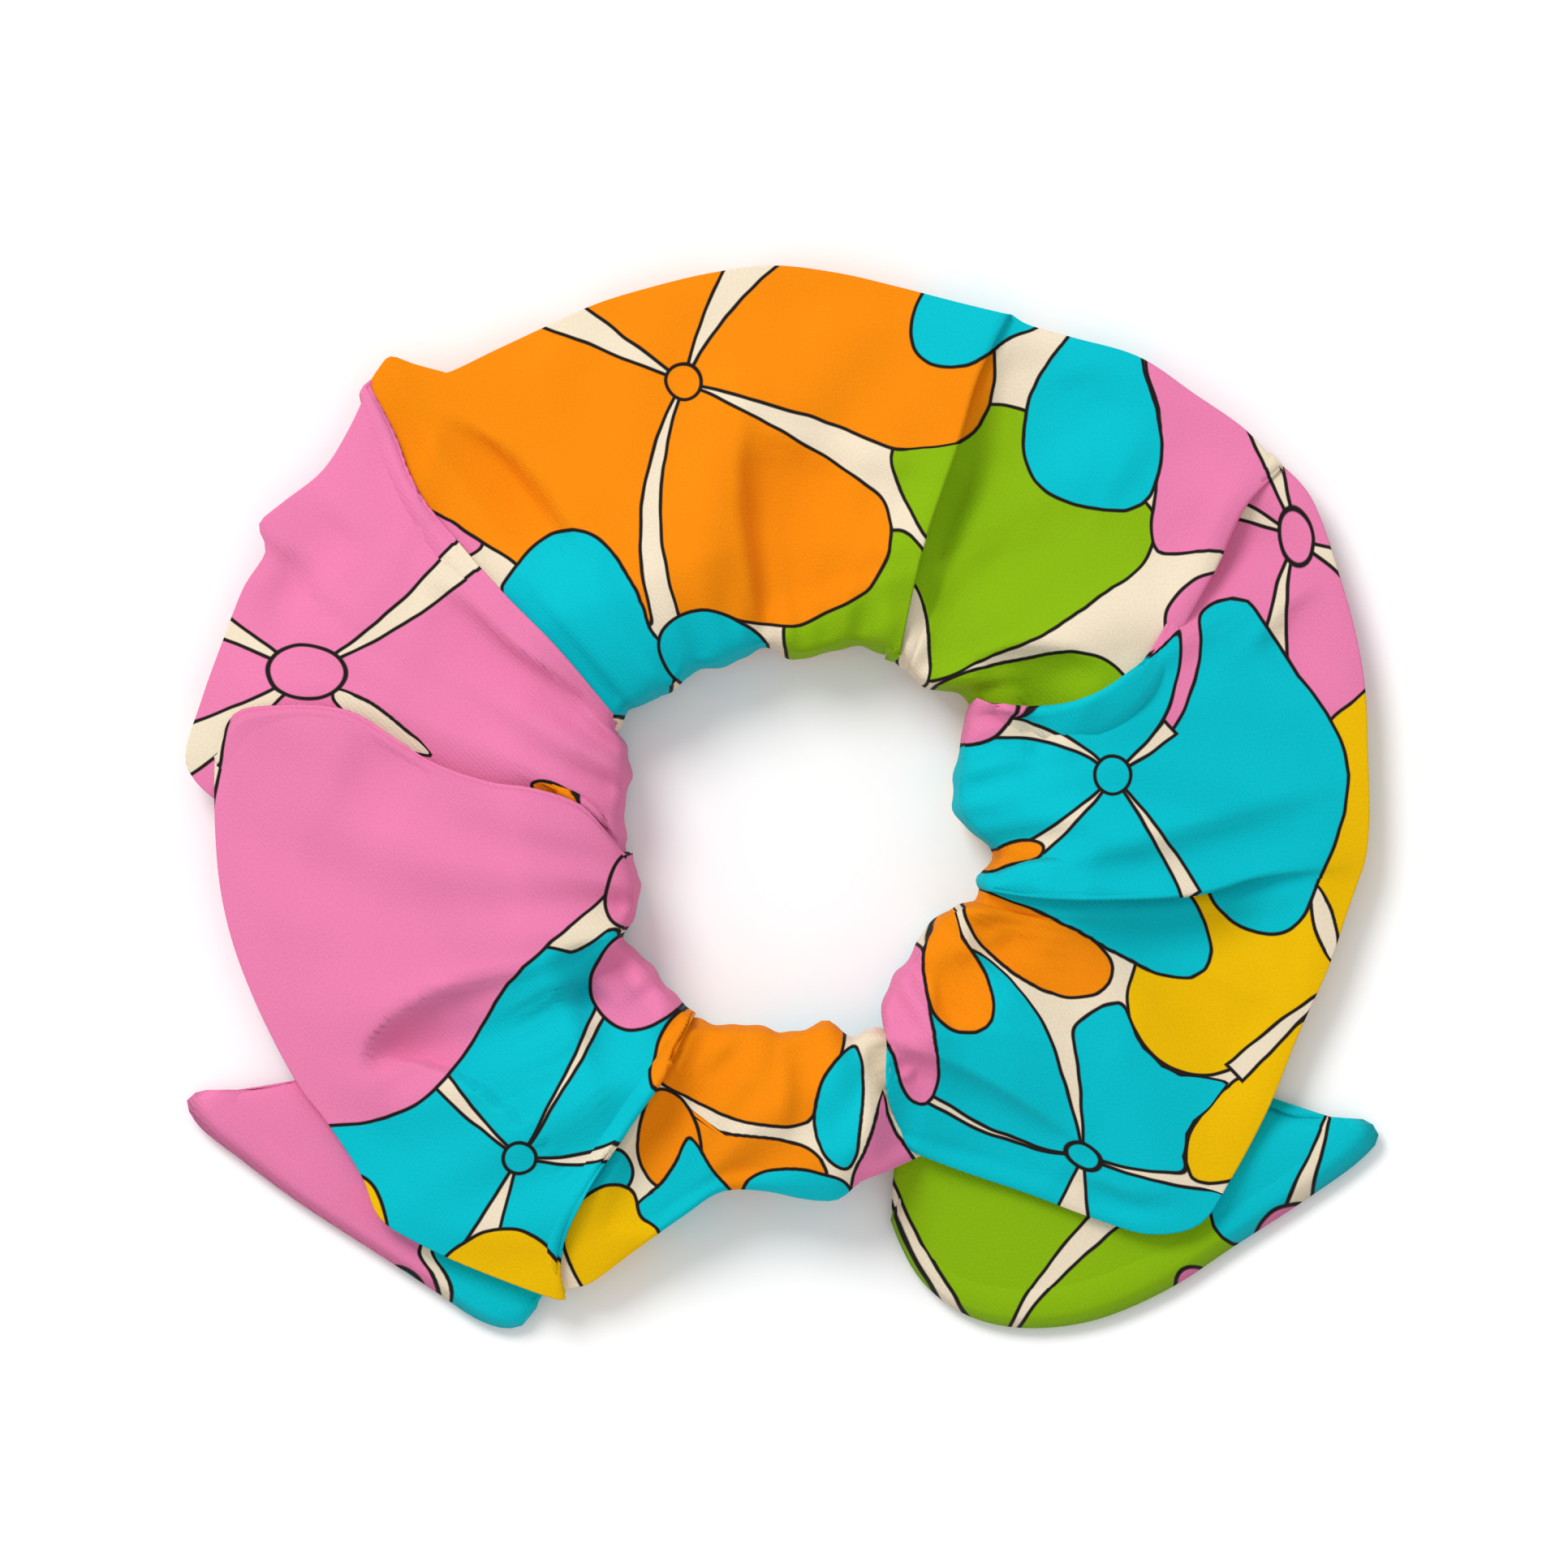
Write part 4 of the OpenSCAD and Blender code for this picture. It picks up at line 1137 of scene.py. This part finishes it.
def braided_band_tree():
    """A flat band with rounded edges and fine ribs along it, swept along a line."""
    tree = node_tree("braided band", {"Width": 0.0065, "Thickness": 0.001, "Ribs": 8.0, "Rib depth": 0.00012,
                                      "Material": None})
    given = add_node(tree, "NodeGroupInput").outputs
    path = add_node(tree, "GeometryNodeMeshToCurve", {}, {"Mesh": given["Geometry"]})
    level = add_node(tree, "GeometryNodeSetCurveNormal", {"mode": "Z_UP"}, {"Curve": path.outputs[0]})
    ring = add_node(tree, "GeometryNodeCurvePrimitiveCircle", {}, {"Resolution": 96, "Radius": 1.0})
    place = add_node(tree, "GeometryNodeInputPosition")
    parts = add_node(tree, "ShaderNodeSeparateXYZ", {}, {0: place.outputs[0]}).outputs

    def squared_off(part, power):
        size = maths(tree, "POWER", maths(tree, "ABSOLUTE", part), power)
        return maths(tree, "MULTIPLY", maths(tree, "SIGN", part), size)

    across, side = squared_off(parts[1], 0.75), squared_off(parts[0], 0.3)
    ribs = maths(tree, "MULTIPLY", across, given["Ribs"])
    wave = maths(tree, "SINE", maths(tree, "MULTIPLY", ribs, math.pi))
    half = maths(tree, "MULTIPLY", given["Thickness"], 0.5)
    thick = maths(tree, "MULTIPLY", side, maths(tree, "MULTIPLY_ADD", wave, given["Rib depth"], half))
    high = maths(tree, "MULTIPLY", across, maths(tree, "MULTIPLY", given["Width"], 0.5))
    spot = add_node(tree, "ShaderNodeCombineXYZ", {}, {0: thick, 1: high})
    profile = add_node(tree, "GeometryNodeSetPosition", {},
                       {"Geometry": ring.outputs[0], "Position": spot.outputs[0]})
    band = add_node(tree, "GeometryNodeCurveToMesh", {},
                    {"Curve": level.outputs[0], "Profile Curve": profile.outputs[0], "Fill Caps": True})
    return give_out(tree, band.outputs[0], given)


def made_by(tree, name, lines, material, ups=None, **sizes):
    """A plain mesh that a tree makes from lines of points in millimetres."""
    points = [p for line in lines for p in line]
    edges, start = [], 0
    for line in lines:
        edges += [(start + k, start + k + 1) for k in range(len(line) - 1)]
        start += len(line)
    mesh = bpy.data.meshes.new(name + " path")
    mesh.from_pydata([tuple(c * MM for c in p) for p in points], edges, [])
    if ups is not None:
        attribute = mesh.attributes.new("up", "FLOAT_VECTOR", "POINT")
        attribute.data.foreach_set("vector", np.concatenate(ups).astype(np.float32).ravel())
    maker = put_in_scene(name + " path", mesh)
    modifier = maker.modifiers.new(tree.name, "NODES")
    modifier.node_group = tree
    sizes["Material"] = material
    for socket in tree.interface.items_tree:
        if socket.in_out == "INPUT" and socket.name in sizes:
            modifier[socket.identifier] = sizes[socket.name]
    ready = maker.evaluated_get(bpy.context.evaluated_depsgraph_get())
    plain = bpy.data.meshes.new_from_object(ready)
    plain.name = name
    bpy.data.objects.remove(maker)
    return put_in_scene(name, plain)


def elastic_finish():
    finish = Finish("braided elastic", Specular_IOR_Level=0.3, Sheen_Weight=0.2)
    place = finish.node("TexCoord").outputs["Object"]
    fluff = finish.noise(place, 0.5, 3.0)
    braid = finish.stripes(place, 420, Distortion=2.0, Detail=1.0)
    dress(finish, braid * 0.6 + fluff * 0.4, {0.2: (205, 202, 196), 0.8: (240, 238, 232)})
    finish.link(fluff.times_plus(0.2, 0.6), "Roughness")
    finish.bump(braid, 0.6, 0.2)
    return finish.material


def thread_finish():
    finish = Finish("polyester thread", Specular_IOR_Level=0.5)
    place = finish.node("TexCoord").outputs["Object"]
    twist = finish.stripes(place, 1500, Distortion=0.5)
    fuzz = finish.noise(place, 0.3)
    dress(finish, twist * 0.7 + fuzz * 0.3, {0.1: (214, 203, 182), 0.9: (243, 234, 215)})
    finish.link(fuzz.times_plus(0.2, 0.4), "Roughness")
    finish.bump(twist, 0.5, 0.1)
    return finish.material


def dress(finish, shade, tones):
    """Colours a surface by its shade, between tones given as screen colours."""
    stops = [(place, from_screen(*tone)) for place, tone in tones.items()]
    finish.link(finish.node("ValToRGB", {"stops": stops}, {"Fac": shade}).outputs["Color"], "Base Color")


LAP_TURN = math.degrees(ELASTIC_LAP / (opening_r + ELASTIC_IN_CLOTH))


def elastic_face(sections, turns, aside):
    """How far out the elastic's middle is at these turns, this much further outwards, in thicknesses."""
    wall = sections[:, :len(WALL_HEIGHTS), :2]
    return opening_edge(wall, turns) + ELASTIC_IN_CLOTH + aside * ELASTIC_THICK


def make_elastic(sections):
    """One loop of flat elastic, a little inside the wall, with its ends lapped and sewn."""
    turns = np.linspace(ELASTIC_JOIN_ANGLE - LAP_TURN / 2, ELASTIC_JOIN_ANGLE + LAP_TURN / 2 + 360, 220)
    aside = 1.15 * ease((turns - turns[-1] + 2.2 * LAP_TURN) / (1.1 * LAP_TURN))
    reach = elastic_face(sections, turns, aside)
    middle_z = (elastic_low + elastic_high) / 2
    path = [(r * math.cos(a), r * math.sin(a), middle_z) for r, a in zip(reach, np.radians(turns))]
    return made_by(braided_band_tree(), "elastic_loop", [path], elastic_finish(),
                   Width=(elastic_high - elastic_low) * MM, Thickness=ELASTIC_THICK * MM)


def make_join_stitches(sections, tree, thread):
    """Zigzag rows that hold the lapped ends of the elastic, on its outer face."""
    turns = ELASTIC_JOIN_ANGLE + 0.36 * LAP_TURN * np.linspace(-1, 1, 14)
    reach = elastic_face(sections, turns, 1.75)
    out = np.stack([np.cos(np.radians(turns)), np.sin(np.radians(turns)), 0 * turns], axis=1)
    heights = [elastic_low + (elastic_high - elastic_low) * part for part in (0.3, 0.5, 0.7)]
    lines = [[(r * o[0], r * o[1], z) for r, o in zip(reach, out)] for z in heights]
    return made_by(tree, "elastic_join_stitches", lines, thread, [out] * len(lines),
                   Pitch=1.3 * MM, Length=2.0 * MM, Thread=0.36 * MM, Turn=0.8)


def skin_directions(sections):
    round_about = np.roll(sections, -1, axis=0) - np.roll(sections, 1, axis=0)
    across = np.roll(sections, -1, axis=1) - np.roll(sections, 1, axis=1)
    made = np.cross(across, round_about)
    return made / np.maximum(np.linalg.norm(made, axis=2), 1e-9)[..., None]


def make_seam(name, wanted):
    """A row of stitches just outside the skin, through these (column, row) points of it."""
    ups = np.array([outward[c, r] for c, r in wanted])
    spots = [tuple(sections[c, r] + outward[c, r] * SEAM_THREAD * 0.3) for c, r in wanted]
    return made_by(stitch_tree, name, [spots], thread, [ups],
                   Pitch=SEAM_PITCH * MM, Length=SEAM_STITCH * MM, Thread=SEAM_THREAD * MM)


make_camera()
make_stage()
sections, places, panel_rows = build_cloth_shape()
cover = cloth_mesh("cloth_cover", sections, places, panel_rows)
wall = cover.modifiers.new("cloth thickness", "SOLIDIFY")
wall.thickness = CLOTH_THICK * MM
wall.offset = -1

elastic = make_elastic(sections)
thread = thread_finish()
stitch_tree = stitch_row_tree()
join_stitches = make_join_stitches(sections, stitch_tree, thread)

outward = skin_directions(sections)
columns, rows = sections.shape[:2]
long_row, closing_column = rows - 9, columns - 3
long_seam = make_seam("long_seam_stitches", [(c % columns, long_row) for c in range(columns + 1)])
closing_seam = make_seam("closing_seam_stitches", [(closing_column, r) for r in range(rows)])

STANDS_FOR = {
    cover: ("printed_cloth", "cover_seam_side", "cover_far_side"),
    elastic: ("elastic", "elastic_seam_side", "elastic_far_side"),
    join_stitches: ("thread", "elastic_join_thread"),
    closing_seam: ("thread", "closing_seam_thread"),
    long_seam: ("thread", "long_seam_thread_seam_side", "long_seam_thread_far_side"),
}
for piece, (slot, *nodes) in STANDS_FOR.items():
    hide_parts(*nodes)
    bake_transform(piece)
